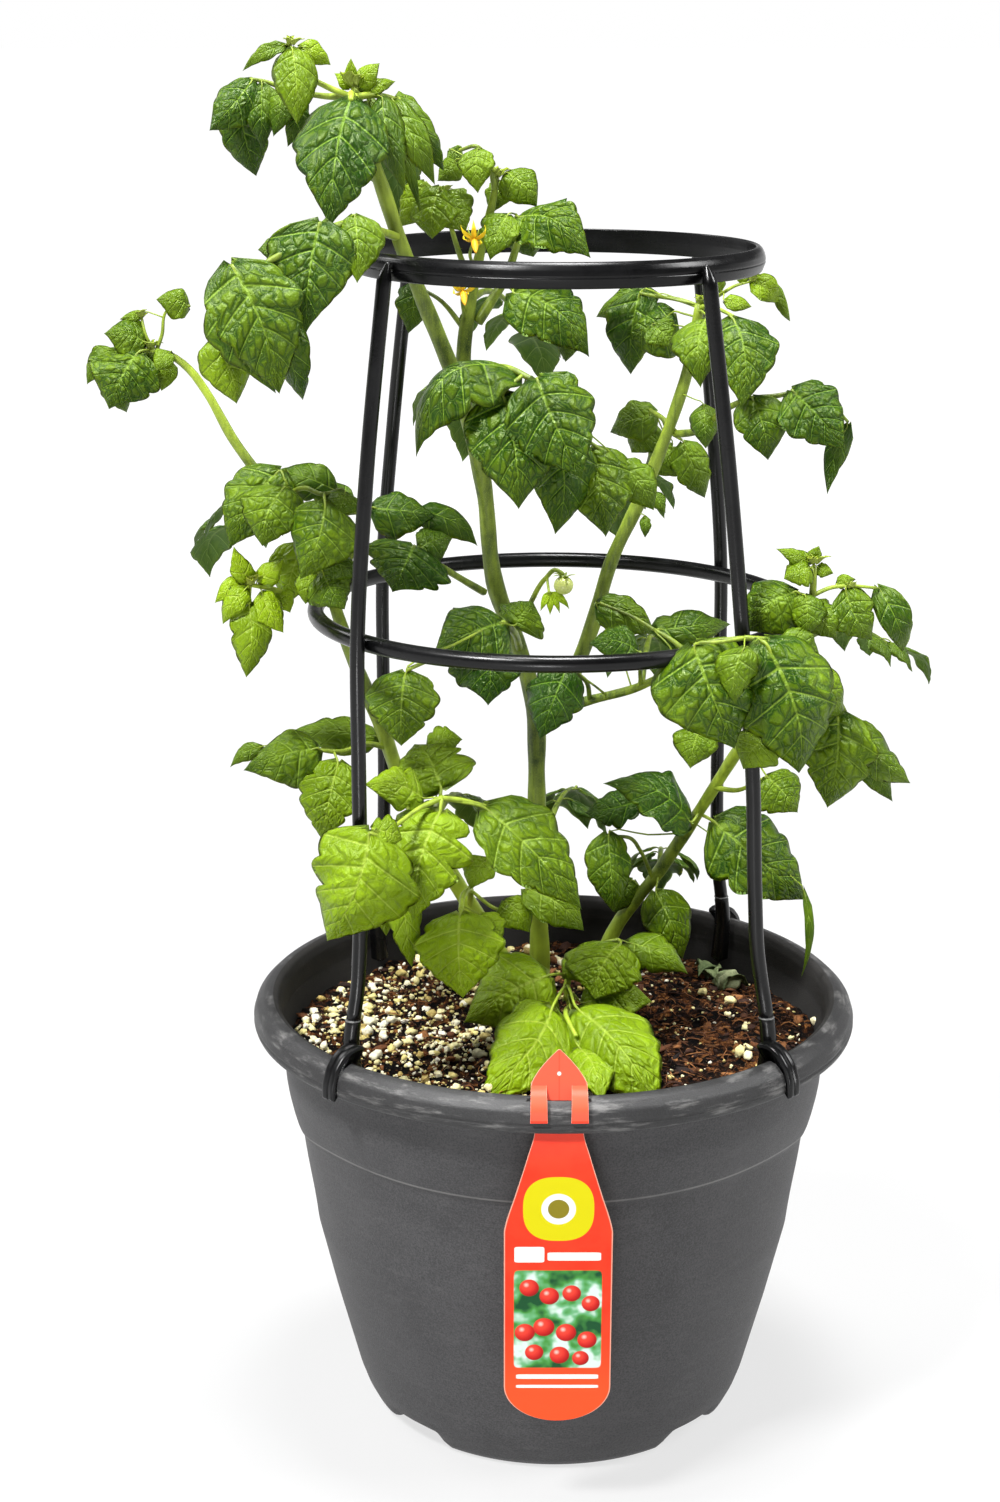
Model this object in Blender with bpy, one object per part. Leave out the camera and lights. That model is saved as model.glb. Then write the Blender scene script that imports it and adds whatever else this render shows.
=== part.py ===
"""Potted tomato plant on a four-legged hoop cage, in metres, +Z up.

The origin is the middle of the pot's flat underside. -Y is the front, where the tag hangs.
Stems and leaves are placed by eye: each point names the picture pixel where it is seen and how
far in front of the pot's axis it lies, and sight() turns both into a point of this frame. Widths,
thicknesses and everything of the pot, cage and tag are real sizes.
"""

from typing import NamedTuple

import bmesh
import bpy
import numpy as np
from mathutils import Matrix, Vector

# Viewpoint of the picture: focal length in pixels, picture centre, downward tilt and place
FOCAL = 2620.0
CENTRE = (500.0, 751.0)
TILT = np.radians(15.66)
EYE = np.array([-0.0272, -1.2615, 0.7002])

GAP = 0.0003
SHARP_FROM = np.radians(40)

# Pot
POT_SEGMENTS = 32
POT_OUTER = (
    (0.0780, 0.0000), (0.0890, 0.0000), (0.0957, 0.0100), (0.1125, 0.0620), (0.1223, 0.1010),
    (0.1290, 0.1590), (0.1318, 0.1625), (0.1340, 0.1750), (0.1430, 0.1870), (0.1500, 0.2050),
    (0.1524, 0.2070), (0.1530, 0.2110), (0.1515, 0.2170), (0.1475, 0.2208), (0.1435, 0.2220),
    (0.1405, 0.2205),
)
POT_INNER = (
    (0.1392, 0.2160), (0.1385, 0.2060), (0.1305, 0.1700), (0.1258, 0.1560), (0.1095, 0.0630),
    (0.0860, 0.0065),
)
STEP_Z = (0.155, 0.168)
STEP_DIP = 0.014
NOTCH_AZIMUTHS = (-48.0, 48.0, -132.0, 132.0)
NOTCH_HALF = 13.0
NOTCH_RISE = 0.0055

# Soil
SOIL_TOP = 0.1965
SOIL_RINGS = (0.030, 0.062, 0.094, 0.120)
SOIL_LUMP = 0.0016

# Cage
TOP_HOOP_R = 0.0987
TOP_HOOP_Z = 0.5970
TOP_HOOP_H = 0.0130
TOP_HOOP_T = 0.0046
MID_HOOP_R = 0.1218
MID_HOOP_Z = 0.4200
MID_HOOP_D = 0.0080
HOOP_SEGMENTS = 30
LEG_R = 0.0035
LEG_SIDES = 8
LEG_AZIMUTHS = {
    "front_left": (-51.0, -47.5, -46.5),
    "front_right": (40.5, 42.5, 50.0),
    "back_left": (-135.0, -135.0, -135.0),
    "back_right": (135.0, 135.0, 135.0),
}
SEAM_Z = 0.2380
SEAM_R = 0.1322
SOCKET_R = 0.0043
SOCKET_FOOT = (0.1318, 0.2030)
STRAP_W = 0.0095

# Tag
TAG_T = 0.0008
TAG_HALF = 0.0268
TAG_NECK = 0.0136
SLOT_HALF = 0.0145
SLOT_T = 0.0016
SLOT_Z = (0.19, 0.23)

# Plant
BLADE_T = 0.0009
STALKLET_W = 0.0018
RIBBED_W = 0.0290
SIDE_FALL = 0.22
STEM_SIDES = ((0.0038, 7), (0.0024, 5), (0.0019, 4), (0.0, 3))
BACK_DROOP = 0.55
BACK_STALK_R = (0.0018, 0.0010)
# Share of a rear leaf's stalk, side and size of each of its leaflets
BACK_LEAFLETS = ((0.52, -1, 0.45), (0.58, 1, 0.45), (0.80, -1, 0.40), (0.86, 1, 0.40), (1.0, 0, 0.62))
ROOT_SUNK = 0.0015
HOLE_DEEP = 0.022
KEPT_SHARE = 0.66


def sight(u, v, near):
    """The point seen at pixel (u, v) that lies near mm in front of the pot's axis."""
    across = (u - CENTRE[0]) / FOCAL
    up = (CENTRE[1] - v) / FOCAL
    ray = np.array([across, np.cos(TILT) + up * np.sin(TILT), up * np.cos(TILT) - np.sin(TILT)])
    return EYE + ray * (-near / 1000 - EYE[1]) / ray[1]


class Leaf(NamedTuple):
    """A leaflet: pixels of its base and tip, width in mm, nearness of both in mm, turn about
    its midrib in degrees, and how high it arches as a share of its length."""

    base: tuple
    tip: tuple
    width: float
    near: tuple
    turn: float = 0.0
    arch: float = 0.12


class Stalk(NamedTuple):
    """A stem or leaf stalk: (u, v, near) points, radius in mm at both ends, and its leaves."""

    points: tuple
    radii: tuple
    leaves: tuple = ()


class Back(NamedTuple):
    """A whole leaf that grows away from the picture's viewpoint: where it starts, as (u, v,
    near), its heading in degrees from the front, its length in mm and its rise in mm."""

    start: tuple
    heading: float
    length: float
    rise: float = 10.0


MAIN_STEM = (
    Stalk(((541, 1001, -46), (540, 945, -45), (537, 860, -43), (537, 780, -41), (534, 700, -37),
           (520, 650, -33), (497, 590, -28), (483, 480, -18), (463, 400, -8), (440, 340, 0),
           (415, 280, 6), (398, 235, 10), (385, 195, 12), (366, 140, 14), (352, 95, 14)),
          (5.2, 3.0)),
    Stalk(((352, 97, 14), (351, 94, 22), (351, 100, 28)), (1.8, 1.2), (
        Leaf((351, 98), (329, 230), 51, (28, 60)),)),
    Stalk(((352, 97, 14), (330, 88, 14), (312, 78, 16), (298, 60, 18), (290, 46, 20)), (1.6, 0.8), (
        Leaf((292, 48), (297, 124), 20, (24, 34)),
        Leaf((287, 44), (242, 68), 8, (20, 26)),
        Leaf((300, 46), (333, 64), 12, (16, 10)))),
    Stalk(((352, 97, 14), (322, 96, 6), (290, 90, 0), (262, 81, 0), (250, 79, 2)), (1.6, 0.9), (
        Leaf((252, 79), (209, 129), 23, (4, 14)),
        Leaf((240, 98), (257, 177), 24, (-2, -6)),
        Leaf((262, 84), (263, 149), 18, (4, 10)),
        Leaf((279, 90), (273, 136), 15, (6, 12)),
        Leaf((296, 94), (287, 146), 12, (2, 6)))),
    Stalk(((352, 97, 14), (370, 95, 10), (388, 97, 5), (400, 101, 0)), (1.6, 1.0), (
        Leaf((382, 97), (407, 190), 17, (14, 24)),
        Leaf((393, 100), (437, 181), 16, (6, 14)),
        Leaf((401, 101), (448, 170), 15, (-4, -6), 0, 0.2),
        Leaf((398, 97), (422, 104), 12, (-6, -14)),
        Leaf((370, 97), (423, 214), 10, (2, 4), 0, 0.05))),
    Stalk(((352, 97, 14), (354, 85, 12)), (1.4, 0.8), (
        Leaf((353, 86), (351, 58), 6, (12, 14)),
        Leaf((358, 88), (379, 62), 10, (12, 10)),
        Leaf((360, 90), (396, 79), 9, (10, 6)),
        Leaf((350, 88), (335, 72), 7, (12, 12)))),
    Stalk(((398, 237, 10), (380, 231, 35), (352, 222, 60), (322, 232, 74), (292, 248, 80),
           (262, 266, 84), (242, 281, 86)), (2.0, 1.1), (
        Leaf((354, 214), (357, 281), 24, (66, 82)),
        Leaf((324, 228), (306, 333), 30, (76, 86)),
        Leaf((240, 281), (270, 392), 45, (88, 96)),
        Leaf((219, 296), (281, 391), 24, (80, 82), -20),
        Leaf((272, 305), (301, 404), 18, (76, 70), 20, 0.2),
        Leaf((214, 342), (237, 404), 24, (74, 74)),
        Leaf((285, 250), (256, 248), 12, (74, 70)))),
)
BACK_OF_MAIN = (
    Back((352, 97, 14), 172, 85), Back((463, 400, -8), 181, 95, 20), Back((539, 860, -43), 165, 80, 30),
)
MIDDLE_LEAF = (
    Stalk(((520, 650, -33), (512, 630, 0), (500, 622, 18)), (2.0, 1.3), (
        Leaf((505, 622), (434, 650), 44, (18, 34)),
        Leaf((515, 625), (533, 600), 26, (8, 2)),
        Leaf((483, 640), (488, 702), 36, (22, 40)),
        Leaf((405, 672), (401, 745), 33, (46, 58)))),
    Stalk(((500, 622, 18), (460, 645, 26), (425, 662, 38), (407, 670, 45)), (1.3, 1.0)),
    Stalk(((484, 592, -24), (460, 578, -8), (439, 565, 5), (420, 552, 10)), (2.0, 1.2), (
        Leaf((414, 545), (392, 590), 40, (12, 24)),
        Leaf((420, 548), (453, 538), 18, (8, 0)))),
)
FRONT_LEAF = (
    Stalk(((466, 385, -6), (480, 372, 10), (505, 368, 22), (525, 376, 30), (548, 392, 34),
           (556, 410, 34)), (2.0, 1.1), (
        Leaf((511, 368), (413, 451), 36, (26, 50), 25, 0.32),
        Leaf((503, 394), (519, 506), 46, (38, 60)),
        Leaf((537, 378), (584, 479), 42, (40, 60)),
        Leaf((553, 428), (555, 536), 31, (34, 40)),
        Leaf((590, 448), (606, 537), 38, (26, 38)),
        Leaf((620, 462), (655, 510), 20, (22, 26)),
        Leaf((520, 400), (534, 430), 14, (26, 30)))),
    Stalk(((556, 410, 34), (580, 435, 28), (618, 460, 22)), (1.1, 0.9)),
)
CENTRE_SHOOT = (
    Stalk(((463, 400, -8), (465, 340, -14), (473, 290, -20), (482, 245, -24), (492, 205, -26),
           (497, 178, -28)), (4.0, 2.0), (
        Leaf((478, 148), (478, 192), 19, (-18, -10)),
        Leaf((507, 172), (538, 205), 19, (-26, -22)),
        Leaf((503, 182), (491, 214), 13, (-35, -34)),
        Leaf((455, 160), (437, 181), 12, (-34, -34)),
        Leaf((450, 150), (464, 163), 10, (-38, -40)))),
    Stalk(((495, 192, -27), (488, 160, -25), (478, 147, -22), (460, 150, -30)), (1.4, 0.8)),
    Stalk(((478, 322, -17), (492, 300, -22), (505, 280, -26), (514, 255, -30), (519, 235, -33),
           (517, 216, -34)), (2.6, 1.4), (
        Leaf((517, 216), (585, 247), 33, (-22, 4)),
        Leaf((508, 214), (490, 259), 22, (-20, -8)),
        Leaf((524, 226), (535, 258), 20, (-38, -40)))),
    Stalk(((505, 280, -26), (513, 290, -10)), (1.2, 1.0), (
        Leaf((513, 291), (590, 353), 32, (-8, 6)),
        Leaf((572, 322), (565, 363), 14, (-14, -16)))),
    Stalk(((473, 290, -20), (455, 240, -20), (443, 195, -22)), (1.6, 1.0), (
        Leaf((440, 186), (432, 238), 26, (-20, -12)),
        Leaf((446, 192), (466, 232), 22, (-26, -20)),
        Leaf((424, 182), (397, 226), 18, (-24, -22)))),
    Stalk(((477, 270, -22), (470, 254, -8), (474, 240, 0)), (0.9, 0.7)),
    Stalk(((465, 320, -16), (462, 300, -4), (463, 292, 4)), (0.9, 0.7)),
    Stalk(((465, 330, -15), (440, 300, -24), (414, 285, -30)), (1.3, 0.8), (
        Leaf((412, 285), (408, 334), 19, (-26, -24)),)),
)
BACK_OF_CENTRE = (Back((470, 300, -18), 160, 80),)
LEFT_SHOOT = (
    Stalk(((518, 995, -42), (502, 958, -40), (470, 905, -32), (430, 838, -20), (397, 770, -10),
           (383, 730, -4), (366, 690, 0), (350, 650, 4), (339, 618, 4), (333, 600, 2),
           (318, 570, 2), (300, 535, 4), (283, 505, 5), (250, 463, 6), (235, 442, 6),
           (205, 390, 6), (190, 370, 6), (170, 355, 5), (150, 350, 4)), (4.6, 1.6), (
        Leaf((118, 352), (86, 384), 15, (10, 14)),
        Leaf((138, 352), (108, 408), 36, (12, 22)),
        Leaf((112, 380), (129, 414), 14, (0, -4)),
        Leaf((150, 353), (139, 386), 15, (2, 2)),
        Leaf((171, 351), (156, 371), 11, (14, 20)),
        Leaf((168, 360), (161, 391), 12, (10, 12)))),
    Stalk(((150, 350, 4), (118, 352, 8)), (1.1, 0.8)),
    Stalk(((156, 352, 4), (162, 335, 4), (166, 312, 4), (172, 306, 4)), (1.0, 0.6), (
        Leaf((190, 306), (157, 298), 15, (4, 8), 0, 0.25),
        Leaf((146, 342), (104, 333), 24, (8, 14)),
        Leaf((143, 312), (119, 318), 6, (0, 2)))),
    Stalk(((156, 352, 4), (147, 338, 6), (141, 315, 2)), (0.9, 0.6)),
    Stalk(((172, 306, 4), (190, 306, 4)), (0.6, 0.6)),
    Stalk(((300, 535, 4), (292, 512, 18), (290, 490, 28)), (2.2, 1.4), (
        Leaf((280, 470), (229, 549), 34, (26, 34)),
        Leaf((284, 487), (262, 546), 28, (38, 46)),
        Leaf((302, 545), (286, 607), 24, (18, 20)))),
    Stalk(((288, 494, 26), (305, 488, 32), (322, 494, 36), (343, 489, 34)), (1.25, 1.0), (
        Leaf((325, 503), (299, 579), 33, (46, 56)),
        Leaf((336, 490), (272, 468), 17, (24, 20)),
        Leaf((345, 491), (336, 516), 17, (38, 44)))),
    Stalk(((312, 556, 3), (318, 562, 24), (320, 566, 38)), (1.5, 1.0), (
        Leaf((322, 556), (360, 575), 16, (38, 46)),
        Leaf((323, 572), (345, 609), 21, (42, 50)),
        Leaf((313, 572), (305, 604), 13, (36, 40)))),
    Stalk(((318, 570, 2), (295, 592, 14), (268, 588, 28), (250, 585, 34)), (1.8, 1.0), (
        Leaf((248, 584), (214, 602), 13, (34, 38)),
        Leaf((252, 582), (234, 546), 11, (34, 34)),
        Leaf((257, 582), (284, 558), 12, (32, 32)),
        Leaf((262, 592), (284, 632), 16, (34, 40)),
        Leaf((249, 604), (246, 678), 21, (38, 44)),
        Leaf((246, 588), (221, 624), 12, (38, 42)),
        Leaf((277, 592), (291, 613), 12, (24, 24)))),
    Stalk(((250, 585, 34), (249, 604, 37)), (0.9, 0.7)),
    Stalk(((328, 590, 2), (350, 560, 0), (350, 530, 0), (343, 517, 0), (372, 512, -4),
           (420, 510, -8)), (1.6, 1.0), (
        Leaf((372, 507), (437, 513), 22, (0, -4)),
        Leaf((421, 510), (481, 545), 17, (-8, -14)),
        Leaf((352, 500), (300, 478), 15, (-4, -10)))),
    Stalk(((389, 748, -7), (365, 744, 4), (340, 752, 14), (320, 750, 18)), (1.5, 1.0), (
        Leaf((318, 748), (243, 770), 29, (20, 24)),
        Leaf((262, 746), (228, 767), 9, (10, 10)),
        Leaf((377, 736), (291, 730), 20, (-14, -20)),
        Leaf((343, 764), (325, 842), 27, (22, 34)))),
)
LOWER_LEFT_LEAF = (
    Stalk(((430, 838, -20), (433, 820, 15), (440, 802, 48), (442, 798, 62)), (2.2, 1.5), (
        Leaf((440, 812), (414, 921), 48, (68, 84)),
        Leaf((486, 808), (583, 909), 40, (58, 74)),
        Leaf((441, 788), (413, 738), 44, (48, 26)),
        Leaf((428, 746), (463, 738), 16, (22, 18)),
        Leaf((424, 798), (365, 784), 23, (62, 70)),
        Leaf((392, 868), (386, 938), 17, (26, 28)),
        Leaf((402, 880), (412, 968), 16, (50, 54)))),
    Stalk(((442, 798, 62), (462, 800, 60), (486, 806, 56)), (1.2, 1.0)),
    Stalk(((442, 798, 62), (420, 808, 72), (395, 826, 88), (380, 836, 98)), (1.3, 1.0), (
        Leaf((378, 836), (331, 943), 43, (101, 106)),
        Leaf((372, 828), (404, 838), 18, (98, 96)))),
    Stalk(((430, 838, -20), (410, 850, 10), (396, 862, 24)), (1.1, 0.9)),
    Stalk(((433, 820, 15), (410, 850, 40), (403, 872, 48)), (1.1, 0.9)),
)
LOW_FRONT_LEAF = (
    Stalk(((470, 905, -32), (470, 890, 0), (462, 900, 40), (461, 910, 54)), (1.8, 1.3), (
        Leaf((460, 914), (463, 998), 44, (56, 72)),
        Leaf((480, 915), (498, 952), 18, (48, 54)),
        Leaf((488, 858), (470, 889), 16, (20, 28)))),
    Stalk(((470, 890, 0), (480, 872, 8), (488, 858, 16)), (1.0, 0.8)),
    Stalk(((470, 890, 0), (500, 910, 8), (530, 905, 8)), (1.0, 0.8), (
        Leaf((513, 906), (528, 934), 16, (12, 18)),
        Leaf((545, 906), (584, 929), 18, (8, 10)))),
)
BACK_OF_LEFT = (Back((283, 505, 5), 205, 80), Back((430, 838, -20), 166, 70, 20))
RIGHT_TALL_SHOOT = (
    Stalk(((536, 730, -39), (553, 711, -38), (570, 681, -36), (591, 630, -34), (612, 560, -32),
           (640, 500, -32), (672, 420, -32), (688, 370, -32), (700, 305, -32)), (4.4, 2.6), (
        Leaf((672, 312), (622, 338), 27, (-40, -44)),
        Leaf((640, 292), (630, 375), 25, (-50, -46)),
        Leaf((652, 325), (672, 346), 18, (-22, -18)),
        Leaf((655, 294), (592, 314), 17, (-56, -66)),
        Leaf((706, 318), (701, 382), 26, (-6, 14)),
        Leaf((733, 318), (741, 408), 34, (0, 22)),
        Leaf((704, 405), (706, 448), 14, (-14, -8)),
        Leaf((655, 492), (666, 513), 9, (-28, -26)),
        Leaf((645, 516), (645, 538), 6, (-28, -26)))),
    Stalk(((700, 307, -32), (680, 300, -38), (655, 296, -46), (640, 293, -50)), (1.2, 0.8)),
    Stalk(((700, 307, -32), (716, 308, -16), (733, 316, -4)), (1.3, 0.9)),
    Stalk(((700, 305, -32), (718, 296, -30), (735, 286, -28), (752, 281, -26)), (1.1, 0.6), (
        Leaf((752, 279), (780, 302), 13, (-26, -26), 0, 0.25),
        Leaf((776, 284), (791, 322), 6, (-32, -34), 0, 0.25),
        Leaf((722, 292), (712, 274), 9, (-26, -24)),
        Leaf((742, 284), (744, 268), 6, (-26, -26)),
        Leaf((724, 300), (752, 306), 9, (-20, -18)))),
    Stalk(((752, 281, -26), (776, 284, -31)), (0.7, 0.6)),
    Stalk(((677, 434, -31), (698, 431, -20), (728, 408, -6), (755, 398, 4), (775, 396, 4),
           (795, 392, 4)), (1.9, 1.0), (
        Leaf((752, 397), (769, 458), 27, (8, 18)),
        Leaf((792, 390), (846, 449), 35, (6, 18)),
        Leaf((848, 424), (827, 495), 11, (0, 4), 0, -0.2))),
    Stalk(((795, 392, 4), (825, 398, 0), (848, 422, -2)), (0.9, 0.7)),
    Stalk(((677, 434, -31), (662, 418, -42), (650, 410, -52)), (1.4, 1.0), (
        Leaf((655, 412), (607, 430), 20, (-54, -60)),
        Leaf((650, 422), (630, 453), 22, (-58, -60)),
        Leaf((672, 446), (642, 472), 20, (-56, -58)),
        Leaf((684, 444), (706, 499), 19, (-52, -56)))),
    Stalk(((662, 418, -42), (672, 434, -54), (682, 440, -54)), (0.9, 0.7)),
)
BACK_OF_RIGHT = (Back((650, 480, -32), 185, 75),)
RIGHT_MIDDLE_BRANCH = (
    Stalk(((534, 713, -37), (546, 712, -22), (590, 700, -8), (641, 686, 6), (668, 672, 16),
           (690, 655, 20)), (3.0, 1.5), (
        Leaf((700, 728), (690, 768), 21, (22, 30)),
        Leaf((655, 629), (735, 617), 21, (10, 0)),
        Leaf((598, 602), (658, 631), 20, (-4, 0)),
        Leaf((640, 652), (592, 642), 22, (26, 34)),
        Leaf((566, 668), (539, 737), 29, (22, 36)))),
    Stalk(((690, 655, 20), (672, 640, 16), (655, 630, 10)), (1.2, 0.9)),
    Stalk(((655, 630, 10), (635, 618, 4), (600, 603, -4)), (0.9, 0.8)),
    Stalk(((641, 686, 6), (640, 665, 18), (640, 652, 25)), (1.2, 0.9)),
    Stalk(((590, 700, -8), (585, 680, 8), (567, 668, 20)), (1.3, 1.0)),
    Stalk(((690, 655, 20), (700, 690, 20), (700, 727, 21)), (1.2, 0.9)),
)
BACK_OF_MIDDLE = (Back((641, 686, 6), 172, 80, 25),)
RIGHT_LOW_SHOOT = (
    Stalk(((594, 988, -56), (612, 935, -56), (660, 870, -44), (700, 810, -24), (735, 755, 0),
           (765, 710, 30), (790, 672, 62), (800, 632, 74), (812, 598, 76), (814, 568, 74)),
          (4.0, 1.4), (
        Leaf((692, 822), (612, 776), 34, (-16, -8), 20),
        Leaf((640, 800), (584, 812), 24, (-30, -34)),
        Leaf((608, 834), (614, 914), 24, (-10, -2)),
        Leaf((702, 822), (804, 893), 40, (-24, -16)),
        Leaf((804, 890), (801, 978), 5, (-16, -10), 0, 0.12),
        Leaf((656, 892), (684, 959), 25, (-30, -20)),
        Leaf((632, 880), (614, 913), 18, (-50, -48)),
        Leaf((767, 776), (799, 811), 28, (18, 26)))),
    Stalk(((653, 879, -45), (640, 850, -30), (630, 838, -20), (612, 836, -12)), (1.2, 0.9)),
    Stalk(((716, 788, -12), (738, 790, 0), (757, 782, 12), (767, 777, 17)), (1.3, 0.9)),
    Stalk(((790, 672, 62), (782, 650, 84), (766, 640, 104), (745, 638, 110)), (2.0, 1.3), (
        Leaf((694, 646), (737, 750), 49, (112, 120)),
        Leaf((765, 643), (803, 778), 47, (112, 114)),
        Leaf((744, 648), (735, 704), 18, (120, 124)),
        Leaf((765, 738), (742, 769), 24, (103, 105)))),
    Stalk(((745, 638, 110), (720, 640, 109), (694, 645, 107)), (1.2, 0.9)),
    Stalk(((790, 672, 62), (815, 675, 76), (838, 700, 78), (850, 722, 74)), (1.6, 1.0), (
        Leaf((806, 668), (850, 716), 24, (88, 86)),
        Leaf((838, 714), (826, 812), 37, (82, 84)),
        Leaf((853, 725), (914, 783), 20, (72, 74)),
        Leaf((868, 744), (893, 802), 16, (66, 64)),
        Leaf((782, 640), (822, 656), 20, (92, 90)))),
    Stalk(((812, 598, 76), (800, 594, 80)), (1.0, 0.8), (
        Leaf((797, 591), (747, 629), 30, (80, 84)),
        Leaf((805, 595), (803, 639), 19, (84, 88)),
        Leaf((814, 602), (838, 639), 17, (80, 84)))),
    Stalk(((812, 596, 76), (830, 588, 76), (850, 586, 74), (876, 588, 72)), (1.1, 0.7), (
        Leaf((846, 590), (873, 640), 23, (76, 80)),
        Leaf((879, 588), (907, 655), 16, (70, 70), 0, 0.22),
        Leaf((836, 584), (856, 578), 7, (74, 74)))),
    Stalk(((814, 570, 74), (814, 564, 74)), (0.9, 0.6), (
        Leaf((812, 562), (778, 547), 10, (74, 76)),
        Leaf((811, 567), (784, 578), 15, (78, 82)),
        Leaf((814, 563), (819, 546), 7, (72, 72)),
        Leaf((817, 566), (834, 572), 8, (74, 76)))),
)
BACK_OF_LOW = (Back((800, 640, 72), 100, 60), Back((660, 870, -44), 176, 70))
BASE_SPROUT = (
    Stalk(((573, 1032, -2), (571, 1006, 4), (567, 985, 6), (575, 965, 4), (600, 945, 2),
           (618, 940, 4)), (2.2, 1.2), (
        Leaf((547, 982), (463, 1021), 43, (22, 34), 0, 0.16),
        Leaf((553, 1014), (485, 1092), 46, (40, 88), 0, 0.10),
        Leaf((579, 1018), (651, 1088), 43, (42, 92), 0, 0.10),
        Leaf((583, 1003), (653, 998), 27, (22, 20)),
        Leaf((621, 943), (595, 999), 39, (14, 36)),
        Leaf((627, 942), (690, 972), 20, (8, 14)),
        Leaf((582, 960), (562, 978), 20, (8, 12)),
        Leaf((578, 1046), (600, 1094), 24, (60, 94), 0, 0.06))),
    Stalk(((571, 1006, 4), (566, 1012, 30), (567, 1018, 44), (576, 1036, 58)), (1.5, 1.1)),
)

YOUNG_TRUSS = (
    Stalk(((514, 632, -31), (530, 604, -10), (546, 578, 2), (556, 570, 6), (563, 574, 7)),
          (1.5, 0.9)),
    Stalk(((547, 577, 2), (549, 592, 9), (555, 608, 12)), (0.8, 1.3)),
)
FRUIT_AT = (563.5, 574.5, 7)
FRUIT_R = 0.0048
FLOWERS = {"flower_upper": ((474, 240, 0), 0.0098), "flower_lower": ((463, 292, 4), 0.0085)}
FLOWER_LOOK = np.array((0.1, -0.8, -0.6))

NODES = {
    "main_stem": (MAIN_STEM + MIDDLE_LEAF + FRONT_LEAF + YOUNG_TRUSS, BACK_OF_MAIN),
    "centre_shoot": (CENTRE_SHOOT, BACK_OF_CENTRE),
    "left_shoot": (LEFT_SHOOT + LOWER_LEFT_LEAF + LOW_FRONT_LEAF, BACK_OF_LEFT),
    "right_tall_shoot": (RIGHT_TALL_SHOOT, BACK_OF_RIGHT),
    "right_middle_branch": (RIGHT_MIDDLE_BRANCH, BACK_OF_MIDDLE),
    "right_low_shoot": (RIGHT_LOW_SHOOT, BACK_OF_LOW),
    "base_sprout": (BASE_SPROUT, ()),
}
ROOTED = ("main_stem", "left_shoot", "right_low_shoot", "base_sprout")
BRANCHED = ("centre_shoot", "right_tall_shoot", "right_middle_branch")


def material(name, colour, roughness, metallic=0.0):
    """A Principled material."""
    made = bpy.data.materials.new(name)
    made.use_nodes = True
    shader = made.node_tree.nodes["Principled BSDF"]
    shader.inputs["Base Color"].default_value = (*colour, 1.0)
    shader.inputs["Roughness"].default_value = roughness
    shader.inputs["Metallic"].default_value = metallic
    return made


def add(name, points, faces, finish, smooth=True):
    """A mesh object from points and faces, with its faces pointing out."""
    mesh = bpy.data.meshes.new(name)
    mesh.from_pydata([tuple(p) for p in points], [], [tuple(f) for f in faces])
    grown = bmesh.new()
    grown.from_mesh(mesh)
    bmesh.ops.recalc_face_normals(grown, faces=grown.faces)
    grown.to_mesh(mesh)
    grown.free()
    if smooth:
        mesh.shade_smooth()
        mesh.set_sharp_from_angle(angle=SHARP_FROM)
    obj = bpy.data.objects.new(name, mesh)
    bpy.context.scene.collection.objects.link(obj)
    if finish is not None:
        mesh.materials.append(finish)
    return obj


def ring_faces(rings, sides):
    """Quads between rings of the same number of points."""
    faces = []
    for ring in range(rings - 1):
        for side in range(sides):
            a, b = ring * sides + side, ring * sides + (side + 1) % sides
            faces.append((a, b, b + sides, a + sides))
    return faces


def turned(profile, segments, shift=None):
    """Points and faces of a closed profile of (radius, height) turned about Z. shift(radius,
    height, azimuth) moves each point up or down. A radius of 0 closes the axis."""
    angles = np.arange(segments) * 2 * np.pi / segments
    points, rows = [], []
    for radius, height in profile:
        if radius == 0:
            rows.append([len(points)] * segments)
            points.append((0.0, 0.0, height))
            continue
        rows.append(range(len(points), len(points) + segments))
        for angle in angles:
            lift = shift(radius, height, angle) if shift else 0.0
            points.append((radius * np.sin(angle), -radius * np.cos(angle), height + lift))
    faces = []
    for here, there in zip(rows, rows[1:] + rows[:1]):
        for k in range(segments):
            face = (here[k], here[(k + 1) % segments], there[(k + 1) % segments], there[k])
            corners = tuple(dict.fromkeys(face))
            if len(corners) > 2:
                faces.append(corners)
    return points, faces


def tube(points, radii, sides):
    """Points and faces of a tube with flat ends, its ring carried along without twist."""
    points = np.asarray(points, float)
    ways = np.gradient(points, axis=0)
    ways /= np.linalg.norm(ways, axis=1)[:, None]
    side = np.cross(ways[0], (0.3, 0.9, 0.31))
    angles = np.arange(sides) * 2 * np.pi / sides
    rings = []
    for point, way, radius in zip(points, ways, radii):
        side = side - way * (side @ way)
        side = side / np.linalg.norm(side)
        other = np.cross(way, side)
        rings.append(point + radius * (np.outer(np.cos(angles), side) + np.outer(np.sin(angles), other)))
    faces = ring_faces(len(rings), sides)
    faces += [tuple(range(sides)), tuple(range(len(rings) * sides - sides, len(rings) * sides))]
    return np.concatenate(rings), faces


def lobes(width):
    """Stations along a leaflet and how far each reaches, 1 at a lobe's point and less in a cut."""
    if width > 0.025:
        return ((0.02, 0.9), (0.24, 1.05), (0.42, 0.80), (0.60, 1.05), (1, 0))
    if width > 0.0135:
        return ((0.22, 1.05), (0.42, 0.80), (0.60, 1.0), (1, 0))
    return ((0.36, 1), (1, 0))


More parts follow.
